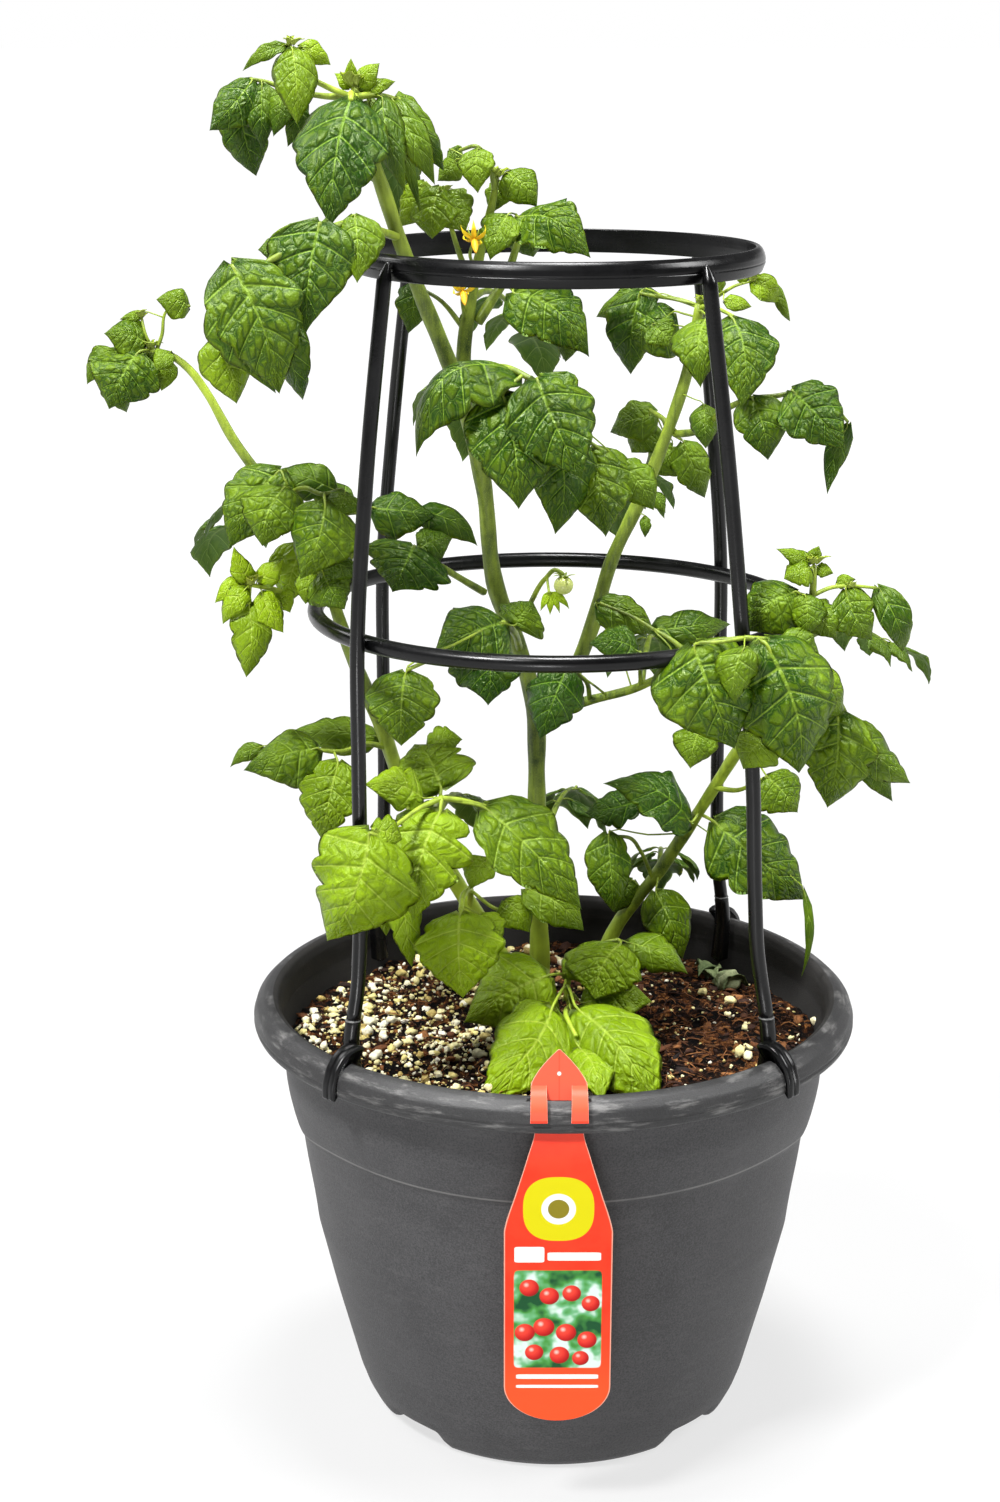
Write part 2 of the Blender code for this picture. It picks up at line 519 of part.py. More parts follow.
def blade(base, tip, width, facing, turn=0.0, arch=0.12, root=None):
    """A thin leaflet: lobed outline, arched along its midrib. A wide one has a raised midrib and
    sides that fall away. It starts with the narrow stalk that reaches its root, if one is given."""
    chord = tip - base
    length = np.linalg.norm(chord)
    along = chord / length
    normal = facing - along * (facing @ along)
    normal /= np.linalg.norm(normal)
    across = np.cross(along, normal)
    angle = np.radians(turn)
    normal, across = (np.cos(angle) * normal + np.sin(angle) * across,
                      np.cos(angle) * across - np.sin(angle) * normal)
    folded = width > RIBBED_W
    rows = []
    if root is not None:
        thick = STALKLET_W / 2 * across
        rows.append([(root - thick, normal), (root + thick, normal)])
    for v, reach in lobes(width):
        slope = arch * 4 * (1 - 2 * v)
        up = normal - slope * along
        up /= np.linalg.norm(up)
        middle = base + chord * v + normal * arch * length * 4 * v * (1 - v)
        half = width / 2 * reach * (v + 0.05) ** 0.5 * (1 - v) ** 0.75 / 0.47
        if v == 1:
            rows.append([(middle, up)])
            continue
        slide = along * half * (0.9 * v - 0.2)
        fall = up * half * SIDE_FALL * folded
        row = [(middle - across * half + slide - fall, up), (middle + across * half + slide - fall, up)]
        if folded:
            row.insert(1, (middle, up))
        rows.append(row)
    starts = np.cumsum([0] + [len(row) for row in rows])
    top = []
    for k, (here, there) in enumerate(zip(rows, rows[1:])):
        a, b = starts[k], starts[k + 1]
        low, high = 0, 0
        while low < len(here) - 1 or high < len(there) - 1:
            if high < len(there) - 1 and (low == len(here) - 1 or high <= low):
                top.append((a + low, b + high, b + high + 1))
                high += 1
            else:
                top.append((a + low, b + high, a + low + 1))
                low += 1
    points = [p + up * s * BLADE_T / 2 for s in (1, -1) for row in rows for p, up in row]
    under = len(points) // 2
    last = len(rows) - 1
    edge = [starts[k] for k in range(last)] + [starts[last]]
    edge += [starts[k + 1] - 1 for k in reversed(range(last))]
    if len(rows[0]) == 3:
        edge.append(1)
    faces = top + [tuple(under + i for i in reversed(f)) for f in top]
    for i, j in zip(edge, edge[1:] + edge[:1]):
        faces += [(i, under + j, j), (i, under + i, under + j)]
    return points, faces


def bake(obj):
    """Applies an object's modifiers."""
    bpy.context.view_layer.update()
    graph = bpy.context.evaluated_depsgraph_get()
    joined = bpy.data.meshes.new_from_object(obj.evaluated_get(graph))
    obj.modifiers.clear()
    obj.data = joined


def fuse(name, pieces, finish, kept=1.0):
    """One closed body from overlapping pieces. Loose scraps and sealed pockets are dropped, and
    kept is the share of its triangles that stays, the small ones along the seams going first."""
    first = add(name, *pieces[0], finish)
    if len(pieces) > 1:
        others = bpy.data.collections.new(name + "_pieces")
        for points, faces in pieces[1:]:
            piece = add(name + "_piece", points, faces, None)
            bpy.context.scene.collection.objects.unlink(piece)
            others.objects.link(piece)
        union = first.modifiers.new("union", "BOOLEAN")
        union.operation = "UNION"
        union.solver = "MANIFOLD"
        union.operand_type = "COLLECTION"
        union.collection = others
        bake(first)
        for piece in list(others.objects):
            bpy.data.objects.remove(piece)
        bpy.data.collections.remove(others)
    keep_largest(first)
    if kept < 1:
        thin = first.modifiers.new("thin", "DECIMATE")
        thin.ratio = kept
        bake(first)
        keep_largest(first)
    first.data.shade_smooth()
    first.data.set_sharp_from_angle(angle=SHARP_FROM)
    return first


def keep_largest(obj):
    """Keeps the outer skin of the body with the largest volume, as triangles."""
    grown = bmesh.new()
    grown.from_mesh(obj.data)
    bmesh.ops.triangulate(grown, faces=grown.faces)
    seen, shells = set(), []
    for start in grown.faces:
        if start in seen:
            continue
        shell, queue = [], [start]
        seen.add(start)
        while queue:
            face = queue.pop()
            shell.append(face)
            for edge in face.edges:
                for other in edge.link_faces:
                    if other not in seen:
                        seen.add(other)
                        queue.append(other)
        corners = np.array([[v.co[:] for v in face.verts] for face in shell])
        shells.append((np.linalg.det(corners).sum(), shell))
    best = max(range(len(shells)), key=lambda k: shells[k][0])
    spare = [face for k, (_, shell) in enumerate(shells) if k != best for face in shell]
    bmesh.ops.delete(grown, geom=spare, context="FACES")
    grown.to_mesh(obj.data)
    grown.free()


def cut(obj, tools):
    """Cuts closed tool meshes from an object."""
    for points, faces in tools:
        tool = add("tool", points, faces, None)
        step = obj.modifiers.new("cut", "BOOLEAN")
        step.operation = "DIFFERENCE"
        step.object = tool
        bake(obj)
        bpy.data.objects.remove(tool)
    keep_largest(obj)
    obj.data.shade_smooth()
    obj.data.set_sharp_from_angle(angle=SHARP_FROM)


def slab(corners, low, high, axis=0):
    """A prism of (second, third) corners along one axis, between low and high."""
    points = []
    for level in (low, high):
        for corner in corners:
            point = list(corner)
            point.insert(axis, level)
            points.append(point)
    count = len(corners)
    faces = [tuple(range(count)), tuple(range(count, 2 * count))]
    faces += [(k, (k + 1) % count, count + (k + 1) % count, count + k) for k in range(count)]
    return points, faces


def around(radius, height, azimuth):
    """The point at a radius, height and azimuth, in degrees from the front, + to the right."""
    angle = np.radians(azimuth)
    return np.array([radius * np.sin(angle), -radius * np.cos(angle), height])


def pot_shift(radius, height, angle):
    """The moulded step dips at the sides, and four notches lift the edge of the base."""
    lift = 0.0
    if STEP_Z[0] < height < STEP_Z[1] and radius > 0.1262:
        lift -= STEP_DIP * np.sin(angle) ** 2
    if radius > 0.0785 and height < 0.005:
        for notch in NOTCH_AZIMUTHS:
            off = abs((np.degrees(angle) - notch + 180) % 360 - 180)
            lift += NOTCH_RISE * float(np.clip((NOTCH_HALF - off) / 5, 0, 1))
    return lift


def slot_y(height):
    """Where the middle of the tag's slot lies at a height."""
    return -0.1444 - (0.2300 - height) * 0.1525


def build_pot(finish):
    """Round pot with a rolled rim, a moulded step, a notched base and the tag's slot."""
    profile = ((0.0, 0.0),) + POT_OUTER + POT_INNER + ((0.0, 0.0060),)
    pot = add("pot", *turned(profile, POT_SEGMENTS, pot_shift), finish)
    slot = [(slot_y(z) + side * SLOT_T / 2, z)
            for side, z in ((1, SLOT_Z[1]), (-1, SLOT_Z[1]), (-1, SLOT_Z[0]), (1, SLOT_Z[0]))]
    cut(pot, [slab(slot, -SLOT_HALF, SLOT_HALF)])
    return pot


def soil_height(x, y):
    """Height of the soil: low lumps on a surface that falls a little towards the wall."""
    bumps = np.sin(61 * x + 1.3) * np.cos(53 * y) + 0.6 * np.sin(97 * y + 40 * x)
    return SOIL_TOP + SOIL_LUMP * bumps - 0.10 * (x * x + y * y)


def build_soil(finish):
    """Soil that fills the pot, with a plain hole for each stem that stands in it."""
    inner = [(r - GAP - 0.0001, z) for r, z in POT_INNER if z < 0.184]
    wall = inner[0][0] + 0.0020
    rings = ((0.0, SOIL_TOP),) + tuple((r, SOIL_TOP) for r in SOIL_RINGS) + ((wall, SOIL_TOP),)
    floor = 0.0060 + GAP + 0.0001
    profile = rings + tuple(inner[:-1]) + ((inner[-1][0], inner[-1][1] + 0.0004), (0.0, floor))

    def shift(radius, height, angle):
        if height != SOIL_TOP:
            return 0.0
        return soil_height(radius * np.sin(angle), -radius * np.cos(angle)) - SOIL_TOP

    soil = add("soil", *turned(profile, POT_SEGMENTS, shift), finish)
    holes = []
    for name in ROOTED:
        stem = NODES[name][0][0]
        foot, radius = stem_foot(stem)
        points = [foot - (0, 0, HOLE_DEEP + GAP), foot + (0, 0, 0.02)]
        holes.append(tube(points, [radius + 0.0004] * 2, 12))
    cut(soil, holes)
    return soil


def stem_foot(stem):
    """Where a rooted stem meets the soil, and its radius there."""
    foot = sight(*stem.points[0])
    foot[2] = soil_height(foot[0], foot[1]) + 0.002
    return foot, stem.radii[0] / 1000


def stalk_points(stalk):
    """World points and radii of a stalk."""
    points = np.array([sight(*p) for p in stalk.points])
    radii = np.linspace(stalk.radii[0], stalk.radii[1], len(points)) / 1000
    return points, radii


def facing_of(point):
    """The way a leaf's upper face looks where the picture shows it: to the viewer and up."""
    view = EYE - point
    way = view / np.linalg.norm(view) + (0, 0, 0.45)
    return way / np.linalg.norm(way)


def nearest(points, target):
    """The point of a polyline that lies nearest to a target, short of the ends of each part."""
    best = None
    for a, b in zip(points, points[1:]):
        short = ROOT_SUNK / np.linalg.norm(b - a)
        share = np.clip((target - a) @ (b - a) / ((b - a) @ (b - a)), 0, 1 - min(short, 0.5))
        spot = a + share * (b - a)
        if best is None or np.linalg.norm(spot - target) < np.linalg.norm(best - target):
            best = spot
    return best


def leaf_piece(leaf, rachis):
    """A leaflet with the short stalk that joins it to its rachis."""
    base, tip = sight(*leaf.base, leaf.near[0]), sight(*leaf.tip, leaf.near[1])
    root = nearest(rachis, base)
    return blade(base, tip, leaf.width / 1000, facing_of(base), leaf.turn, leaf.arch, root)


def back_pieces(back):
    """A compound leaf of five leaflets that heads away and droops."""
    start = sight(*back.start)
    way = around(1, 0, back.heading)
    aside = np.cross(way, (0, 0, 1))
    length = back.length / 1000
    shares = np.linspace(0, 1, 5)
    rise = back.rise / 1000
    rachis = [start + way * length * s + np.array((0, 0, 2 * rise * s - BACK_DROOP * length * s * s))
              for s in shares]
    pieces = [tube(rachis, np.linspace(*BACK_STALK_R, len(shares)), 3)]
    for share, turn, size in BACK_LEAFLETS:
        spot = np.array([np.interp(share, shares, [p[k] for p in rachis]) for k in range(3)])
        heading = way * (0.55 if turn else 1.0) + aside * turn * 0.85
        base = spot + heading * 0.006
        tip = base + heading * length * size * 0.62 - np.array((0, 0, length * size * 0.62))
        facing = np.array((0, 0, 1.0)) + heading
        facing /= np.linalg.norm(facing)
        pieces.append(blade(base, tip, length * size * 0.56, facing, root=spot))
    return pieces


def freed_start(points, radius):
    """Moves a side stem's first point out of the main stem's skin, so that the two only meet."""
    parent, parent_radii = stalk_points(MAIN_STEM[0])
    way = (points[1] - points[0]) / np.linalg.norm(points[1] - points[0])
    for step in np.arange(0.0002, 0.03, 0.0002):
        spot = points[0] + way * step
        away = spot - nearest(parent, spot)
        reach = np.linalg.norm(away)
        tilt = away @ way / reach
        skin = parent_radii[np.argmin(np.linalg.norm(parent - spot, axis=1))]
        if reach - radius * np.sqrt(1 - tilt * tilt) > skin + GAP:
            break
    points[0] = spot
    return points


def build_shoot(name, finish):
    """A leafy stem: its stalks, leaflets and rear leaves fused into one body."""
    stalks, backs = NODES[name]
    pieces = []
    for index, stalk in enumerate(stalks):
        points, radii = stalk_points(stalk)
        sides = next(count for least, count in STEM_SIDES if radii[0] > least)
        rachis = points
        if index == 0 and name in ROOTED:
            foot, _ = stem_foot(stalk)
            points = np.concatenate([[foot - (0, 0, HOLE_DEEP), foot], points[1:]])
            radii = np.concatenate([[radii[0], radii[0]], radii[1:]])
        if index == 0 and name in BRANCHED:
            points = freed_start(points, radii[0])
        pieces.append(tube(points, radii, sides))
        for leaf in stalk.leaves:
            pieces.append(leaf_piece(leaf, rachis))
    for back in backs:
        pieces += back_pieces(back)
    return fuse(name, pieces, finish, KEPT_SHARE)


def build_top_hoop(finish):
    """Flat band with a rounded outer face."""
    out, z, h, t = TOP_HOOP_R, TOP_HOOP_Z, TOP_HOOP_H, TOP_HOOP_T
    profile = ((out - t, z), (out - t, z - h), (out - 0.0012, z - h), (out, z - 0.75 * h),
               (out, z - 0.25 * h), (out - 0.0012, z))
    return add("cage_top_hoop", *turned(profile, HOOP_SEGMENTS), finish)


def build_middle_hoop(finish):
    """Round bar bent to a ring."""
    radius = MID_HOOP_D / 2
    angles = np.arange(6) * np.pi / 3 + np.pi / 6
    profile = [(MID_HOOP_R - radius + radius * np.cos(a), MID_HOOP_Z + radius * np.sin(a)) for a in angles]
    return add("cage_middle_hoop", *turned(profile, HOOP_SEGMENTS), finish)


def leg_path(azimuths):
    """A leg from its seam above the rim to its point on the top hoop."""
    top, middle, low = azimuths
    beside_top = TOP_HOOP_R + LEG_R + GAP
    beside_middle = MID_HOOP_R + LEG_R + GAP
    return [
        around(SEAM_R - 0.0001, SEAM_Z + GAP + 0.0001, low),
        around(SEAM_R - 0.0006, SEAM_Z + 0.0034, low),
        around(0.1287, 0.2500, low),
        around(0.1262, 0.2700, low),
        around(0.1258, 0.3000, low),
        around(0.1262, 0.3600, (low + middle) / 2),
        around(beside_middle, MID_HOOP_Z, middle),
        around(0.1160, 0.5000, (middle + top) / 2),
        around(beside_top, TOP_HOOP_Z - TOP_HOOP_H + 0.0005, top),
        around(TOP_HOOP_R + 0.0014, TOP_HOOP_Z - 0.0030, top),
    ]


def build_leg(place, finish):
    """A round leg that runs outside both hoops and ends in a point on the upper one."""
    radii = [LEG_R] * 9 + [0.0009]
    return add("cage_leg_" + place, *tube(leg_path(LEG_AZIMUTHS[place]), radii, LEG_SIDES), finish)


def build_clip(place, finish):
    """The socket that holds a leg inside the rim, with its strap hooked over the rim."""
    azimuth = LEG_AZIMUTHS[place][2]
    socket = tube([around(SEAM_R, SEAM_Z, azimuth), around(0.1336, 0.2290, azimuth),
                   around(*SOCKET_FOOT, azimuth)], [SOCKET_R, SOCKET_R, SOCKET_R + 0.0003], LEG_SIDES)
    strap = [(0.1320, 0.2330), (0.1360, 0.2330), (0.1420, 0.2280), (0.1485, 0.2250), (0.1538, 0.2200),
             (0.1556, 0.2130), (0.1556, 0.2060), (0.1534, 0.2050), (0.1534, 0.2112), (0.1519, 0.2173),
             (0.1478, 0.2212), (0.1436, 0.2224), (0.1390, 0.2255), (0.1320, 0.2280)]
    points, faces = slab([(-r, z) for r, z in strap], -STRAP_W / 2, STRAP_W / 2)
    turn = Matrix.Rotation(np.radians(azimuth), 4, "Z")
    points = [tuple(turn @ Vector(p)) for p in points]
    return fuse("rim_clip_" + place, [socket, (points, faces)], finish)


def strip(rows):
    """A bent flat strip: each row is (y, z, half width), and the thickness is the tag's."""
    points = []
    for k, (y, z, half) in enumerate(rows):
        before, after = rows[max(k - 1, 0)], rows[min(k + 1, len(rows) - 1)]
        way = np.array([after[0] - before[0], after[1] - before[1]])
        way = way / np.linalg.norm(way) * TAG_T / 2
        for side in (-1, 1):
            points.append((-half, y + side * way[1], z - side * way[0]))
            points.append((half, y + side * way[1], z - side * way[0]))
    faces = []
    for k in range(len(rows) - 1):
        a = 4 * k
        faces += [(a, a + 1, a + 5, a + 4), (a + 2, a + 6, a + 7, a + 3), (a, a + 4, a + 6, a + 2),
                  (a + 1, a + 3, a + 7, a + 5)]
    end = 4 * (len(rows) - 1)
    faces += [(0, 2, 3, 1), (end, end + 1, end + 3, end + 2)]
    return points, faces


def build_tag(finish):
    """Flat tag: a pointed head above the rim, a neck through the slot and a long rounded body."""
    head = [(-0.1416, 0.2440, 0.0010), (-0.1425, 0.2390, 0.0060), (-0.1436, 0.2330, 0.0122),
            (slot_y(0.2285), 0.2285, 0.0138), (slot_y(0.2215), 0.2215, TAG_NECK)]
    neck = [(slot_y(0.2050), 0.2050, TAG_NECK), (slot_y(0.1945), 0.1945, 0.0170), (-0.1492, 0.1750, 0.0228),
            (-0.1478, 0.1560, TAG_HALF), (-0.1400, 0.0760, TAG_HALF)]
    lower = []
    for angle in np.radians((20, 40, 58, 74, 86)):
        drop = 0.0250 * np.sin(angle)
        lower.append((-0.1400 + 0.1 * drop, 0.0728 - drop, TAG_HALF * np.cos(angle)))
    pieces = [strip(head + neck + lower)]
    for side in (-1, 1):
        rows = [(-0.1438, 0.2290, 0.0035), (-0.1458, 0.2264, 0.0036), (-0.1494, 0.2236, 0.0037),
                (-0.1529, 0.2195, 0.0038), (-0.1541, 0.2130, 0.0040)]
        points, faces = strip(rows)
        pieces.append(([(x + side * 0.0106, y, z) for x, y, z in points], faces))
    return fuse("plant_tag", pieces, finish)


def build_flower(name, finish):
    """Five pointed petals swept back from a small cone."""
    spot, reach = FLOWERS[name]
    middle = sight(*spot)
    look = FLOWER_LOOK / np.linalg.norm(FLOWER_LOOK)
    side = np.cross(look, (0, 0, 1))
    side /= np.linalg.norm(side)
    up = np.cross(side, look)
    middle = middle + look * 0.0011
    pieces = [tube([middle, middle + look * 0.004, middle + look * 0.008], [0.0016, 0.0014, 0.0006], 6)]
    for angle in np.radians(np.arange(5) * 72 + 18):
        way = np.cos(angle) * side + np.sin(angle) * up
        base, tip = middle + way * 0.0020, middle + way * reach - look * 0.0010
        pieces.append(blade(base, tip, reach * 0.45, look, 0, 0.08, middle + look * 0.0016))
    return fuse(name, pieces, finish, KEPT_SHARE)


def build_fruit(finish):
    """A young round fruit under its calyx."""
    centre = sight(*FRUIT_AT) - (0, 0, FRUIT_R + 0.0006)
    heights = np.radians((-90, -50, -15, 20, 55, 90))
    profile = [(FRUIT_R * max(np.cos(a), 0.0) if abs(a) < 1.5 else 0.0, FRUIT_R * 0.95 * np.sin(a))
               for a in heights]
    points, faces = turned(profile, 10)
    return add("young_fruit", [centre + p for p in np.array(points)], faces, finish)


def main():
    for obj in list(bpy.data.objects):
        bpy.data.objects.remove(obj)
    pot_plastic = material("pot_plastic", (0.055, 0.054, 0.055), 0.62)
    soil_mix = material("soil_mix", (0.070, 0.038, 0.020), 0.95)
    cage_plastic = material("cage_plastic", (0.008, 0.008, 0.009), 0.28)
    tag_card = material("tag_card", (0.85, 0.065, 0.02), 0.35)
    leaf_green = material("leaf_green", (0.080, 0.240, 0.022), 0.45)
    petal_yellow = material("petal_yellow", (0.90, 0.55, 0.02), 0.5)
    fruit_green = material("fruit_green", (0.42, 0.50, 0.08), 0.35)
    build_pot(pot_plastic)
    build_soil(soil_mix)
    build_top_hoop(cage_plastic)
    build_middle_hoop(cage_plastic)
    for place in LEG_AZIMUTHS:
        build_leg(place, cage_plastic)
        build_clip(place, cage_plastic)
    build_tag(tag_card)
    for name in NODES:
        build_shoot(name, leaf_green)
    for name in FLOWERS:
        build_flower(name, petal_yellow)
    build_fruit(fruit_green)


main()
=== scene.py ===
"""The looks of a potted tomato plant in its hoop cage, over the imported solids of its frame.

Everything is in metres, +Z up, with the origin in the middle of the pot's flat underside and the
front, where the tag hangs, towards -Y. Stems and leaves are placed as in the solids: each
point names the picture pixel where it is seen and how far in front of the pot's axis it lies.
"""

import logging
from dataclasses import dataclass
from enum import Enum
from typing import Any, Optional, Sequence, Union

import bpy
import numpy as np
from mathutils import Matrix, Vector


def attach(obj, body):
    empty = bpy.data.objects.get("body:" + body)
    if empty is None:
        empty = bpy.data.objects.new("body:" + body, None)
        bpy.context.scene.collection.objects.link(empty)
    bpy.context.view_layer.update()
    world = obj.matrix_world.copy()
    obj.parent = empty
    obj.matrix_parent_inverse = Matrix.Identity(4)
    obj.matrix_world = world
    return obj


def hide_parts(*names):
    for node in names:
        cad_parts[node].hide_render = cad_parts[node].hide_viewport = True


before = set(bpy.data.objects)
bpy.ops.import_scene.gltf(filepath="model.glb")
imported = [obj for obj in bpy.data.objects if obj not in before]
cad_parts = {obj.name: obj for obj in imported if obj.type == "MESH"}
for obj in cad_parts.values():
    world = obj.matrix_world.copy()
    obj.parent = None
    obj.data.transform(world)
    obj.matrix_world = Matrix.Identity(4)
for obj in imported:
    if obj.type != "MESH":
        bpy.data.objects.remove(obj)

Array = np.ndarray
Chance = np.random.Generator
Material = bpy.types.Material
Piece = bpy.types.Object
Colour = tuple[float, float, float]
Term = Union["Value", float]
log = logging.getLogger("potted_tomato")

MM = 0.001
UP = np.array((0.0, 0.0, 1.0))


@dataclass(frozen=True)
class Viewpoint:
    """The place that the picture was taken from.

    focal and centre are in picture pixels, tilt is downward, in radians, and eye is in metres.
    """

    focal: float = 2620.0
    centre: tuple[float, float] = (500.0, 751.0)
    tilt: float = np.radians(15.66)
    eye: tuple[float, float, float] = (-0.0272, -1.2615, 0.7002)
    long_side: float = 1502.0

    def sight(self, u: float, v: float, near: float) -> Array:
        """Finds the point that is seen at a pixel and lies near millimetres before the axis.

        Args:
            u: pixels from the picture's left edge.
            v: pixels from its top edge.
            near: millimetres towards the viewer from the pot's axis.

        Returns:
            The point, in metres.
        """
        eye = np.array(self.eye)
        across = (u - self.centre[0]) / self.focal
        up = (self.centre[1] - v) / self.focal
        ray = np.array([across, np.cos(self.tilt) + up * np.sin(self.tilt),
                        up * np.cos(self.tilt) - np.sin(self.tilt)])
        return eye + ray * (-near * MM - eye[1]) / ray[1]

    def place_camera(self) -> None:
        """Makes the scene's camera at this place."""
        data = bpy.data.cameras.new("picture_camera")
        data.sensor_width = 36.0
        data.lens = self.focal / self.long_side * data.sensor_width
        data.clip_start, data.clip_end = 0.05, 120.0
        camera = bpy.data.objects.new("picture_camera", data)
        camera.location = self.eye
        camera.rotation_euler = (np.pi / 2 - self.tilt, 0.0, 0.0)
        bpy.context.scene.collection.objects.link(camera)
        bpy.context.scene.camera = camera


VIEW = Viewpoint()


@dataclass(frozen=True)
class Leaflet:
    """One leaflet: pixels (u, v) of its base and tip, width in mm, nearness of both in mm.

    turn is about its midrib, in degrees, and arch is its rise as a share of its length.
    """

    base_u: float
    base_v: float
    tip_u: float
    tip_v: float
    width: float
    base_near: float
    tip_near: float
    turn: float = 0.0
    arch: float = 0.12


@dataclass(frozen=True)
class Stalk:
    """A stem or leaf stalk: (u, v, near) points, radius in mm at both ends, and Leaflet rows."""

    points: tuple
    radii: tuple[float, float]
    leaves: tuple = ()


@dataclass(frozen=True)
class Frond:
    """A whole leaf that grows away from the viewer.

    start is (u, v, near), heading is in degrees from the front, and length and rise are in mm.
    """

    start: tuple[float, float, float]
    heading: float
    length: float
    rise: float = 10.0


@dataclass(frozen=True)
class Tip:
    """A growing tip: a tuft of small curled leaves at (u, v, near), size mm across."""

    at: tuple[float, float, float]
    size: float
    tone: float = 0.94
    count: int = 9


@dataclass(frozen=True)
class Growth:
    """All that one node of the plant grows, and whether its first stem stands in the soil."""

    stalks: tuple
    fronds: tuple = ()
    tips: tuple = ()
    rooted: bool = False


MAIN_STEM = (
    Stalk(((541, 1001, -46), (540, 945, -45), (537, 860, -43), (537, 780, -41), (534, 700, -37),
           (520, 650, -33), (497, 590, -28), (483, 480, -18), (463, 400, -8), (440, 340, 0),
           (415, 280, 6), (398, 235, 10), (385, 195, 12), (366, 140, 14), (352, 95, 14)),
          (5.2, 3.0)),
    Stalk(((352, 97, 14), (351, 94, 22), (351, 100, 28)), (1.8, 1.2), (
        (351, 98, 330, 228, 44, 28, 60),)),
    Stalk(((352, 97, 14), (330, 88, 14), (312, 78, 16), (298, 60, 18), (290, 46, 20)), (1.6, 0.8), (
        (292, 48, 297, 124, 20, 24, 34), (287, 44, 242, 68, 8, 20, 26), (300, 46, 333, 64, 12, 16, 10))),
    Stalk(((352, 97, 14), (322, 96, 6), (290, 90, 0), (262, 81, 0), (250, 79, 2)), (1.6, 0.9), (
        (252, 79, 209, 129, 23, 4, 14), (240, 98, 257, 177, 24, -2, -6), (262, 84, 263, 149, 18, 4, 10),
        (279, 90, 273, 136, 15, 6, 12), (296, 94, 287, 146, 12, 2, 6))),
    Stalk(((352, 97, 14), (370, 95, 10), (388, 97, 5), (400, 101, 0)), (1.6, 1.0), (
        (382, 97, 407, 190, 17, 14, 24), (393, 100, 437, 181, 16, 6, 14),
        (401, 101, 448, 170, 15, -4, -6, 0, 0.2), (398, 97, 422, 104, 12, -6, -14),
        (370, 97, 423, 214, 10, 2, 4, 0, 0.05))),
    Stalk(((352, 97, 14), (354, 85, 12)), (1.4, 0.8), (
        (353, 86, 351, 58, 6, 12, 14), (358, 88, 379, 62, 10, 12, 10), (360, 90, 396, 79, 9, 10, 6),
        (350, 88, 335, 72, 7, 12, 12))),
    Stalk(((398, 237, 10), (380, 231, 35), (352, 222, 60), (322, 232, 74), (292, 248, 80),
           (262, 266, 84), (242, 281, 86)), (2.0, 1.1), (
        (354, 214, 357, 281, 24, 66, 82), (320, 222, 306, 333, 37, 76, 86),
        (231, 264, 281, 393, 42, 88, 96), (219, 296, 281, 391, 24, 80, 82, -20),
        (272, 305, 301, 404, 18, 76, 70, 20, 0.2), (214, 342, 237, 404, 24, 74, 74),
        (285, 250, 256, 248, 12, 74, 70))),
)
BACK_OF_MAIN = (
    Frond((352, 97, 14), 172, 85), Frond((463, 400, -8), 181, 95, 20), Frond((539, 860, -43), 165, 80, 30),
)
MIDDLE_LEAF = (
    Stalk(((520, 650, -33), (512, 630, 0), (500, 622, 18)), (2.0, 1.3), (
        (505, 622, 434, 650, 44, 18, 34), (515, 625, 533, 600, 26, 8, 2), (483, 640, 488, 702, 36, 22, 40),
        (405, 672, 401, 745, 33, 46, 58))),
    Stalk(((500, 622, 18), (460, 645, 26), (425, 662, 38), (407, 670, 45)), (1.3, 1.0)),
    Stalk(((484, 592, -24), (460, 578, -8), (439, 565, 5), (420, 552, 10)), (2.0, 1.2), (
        (414, 545, 392, 590, 40, 12, 24), (420, 548, 453, 538, 18, 8, 0))),
)
FRONT_LEAF = (
    Stalk(((466, 385, -6), (480, 372, 10), (505, 368, 22), (525, 376, 30), (548, 392, 34),
           (556, 410, 34)), (2.0, 1.1), (
        (511, 368, 413, 451, 36, 26, 50, 25, 0.32), (503, 394, 519, 506, 46, 38, 60),
        (537, 378, 584, 479, 42, 40, 60), (553, 428, 555, 536, 31, 34, 40),
        (590, 448, 606, 537, 38, 26, 38), (620, 462, 655, 510, 20, 22, 26),
        (520, 400, 534, 430, 14, 26, 30))),
    Stalk(((556, 410, 34), (580, 435, 28), (618, 460, 22)), (1.1, 0.9)),
)
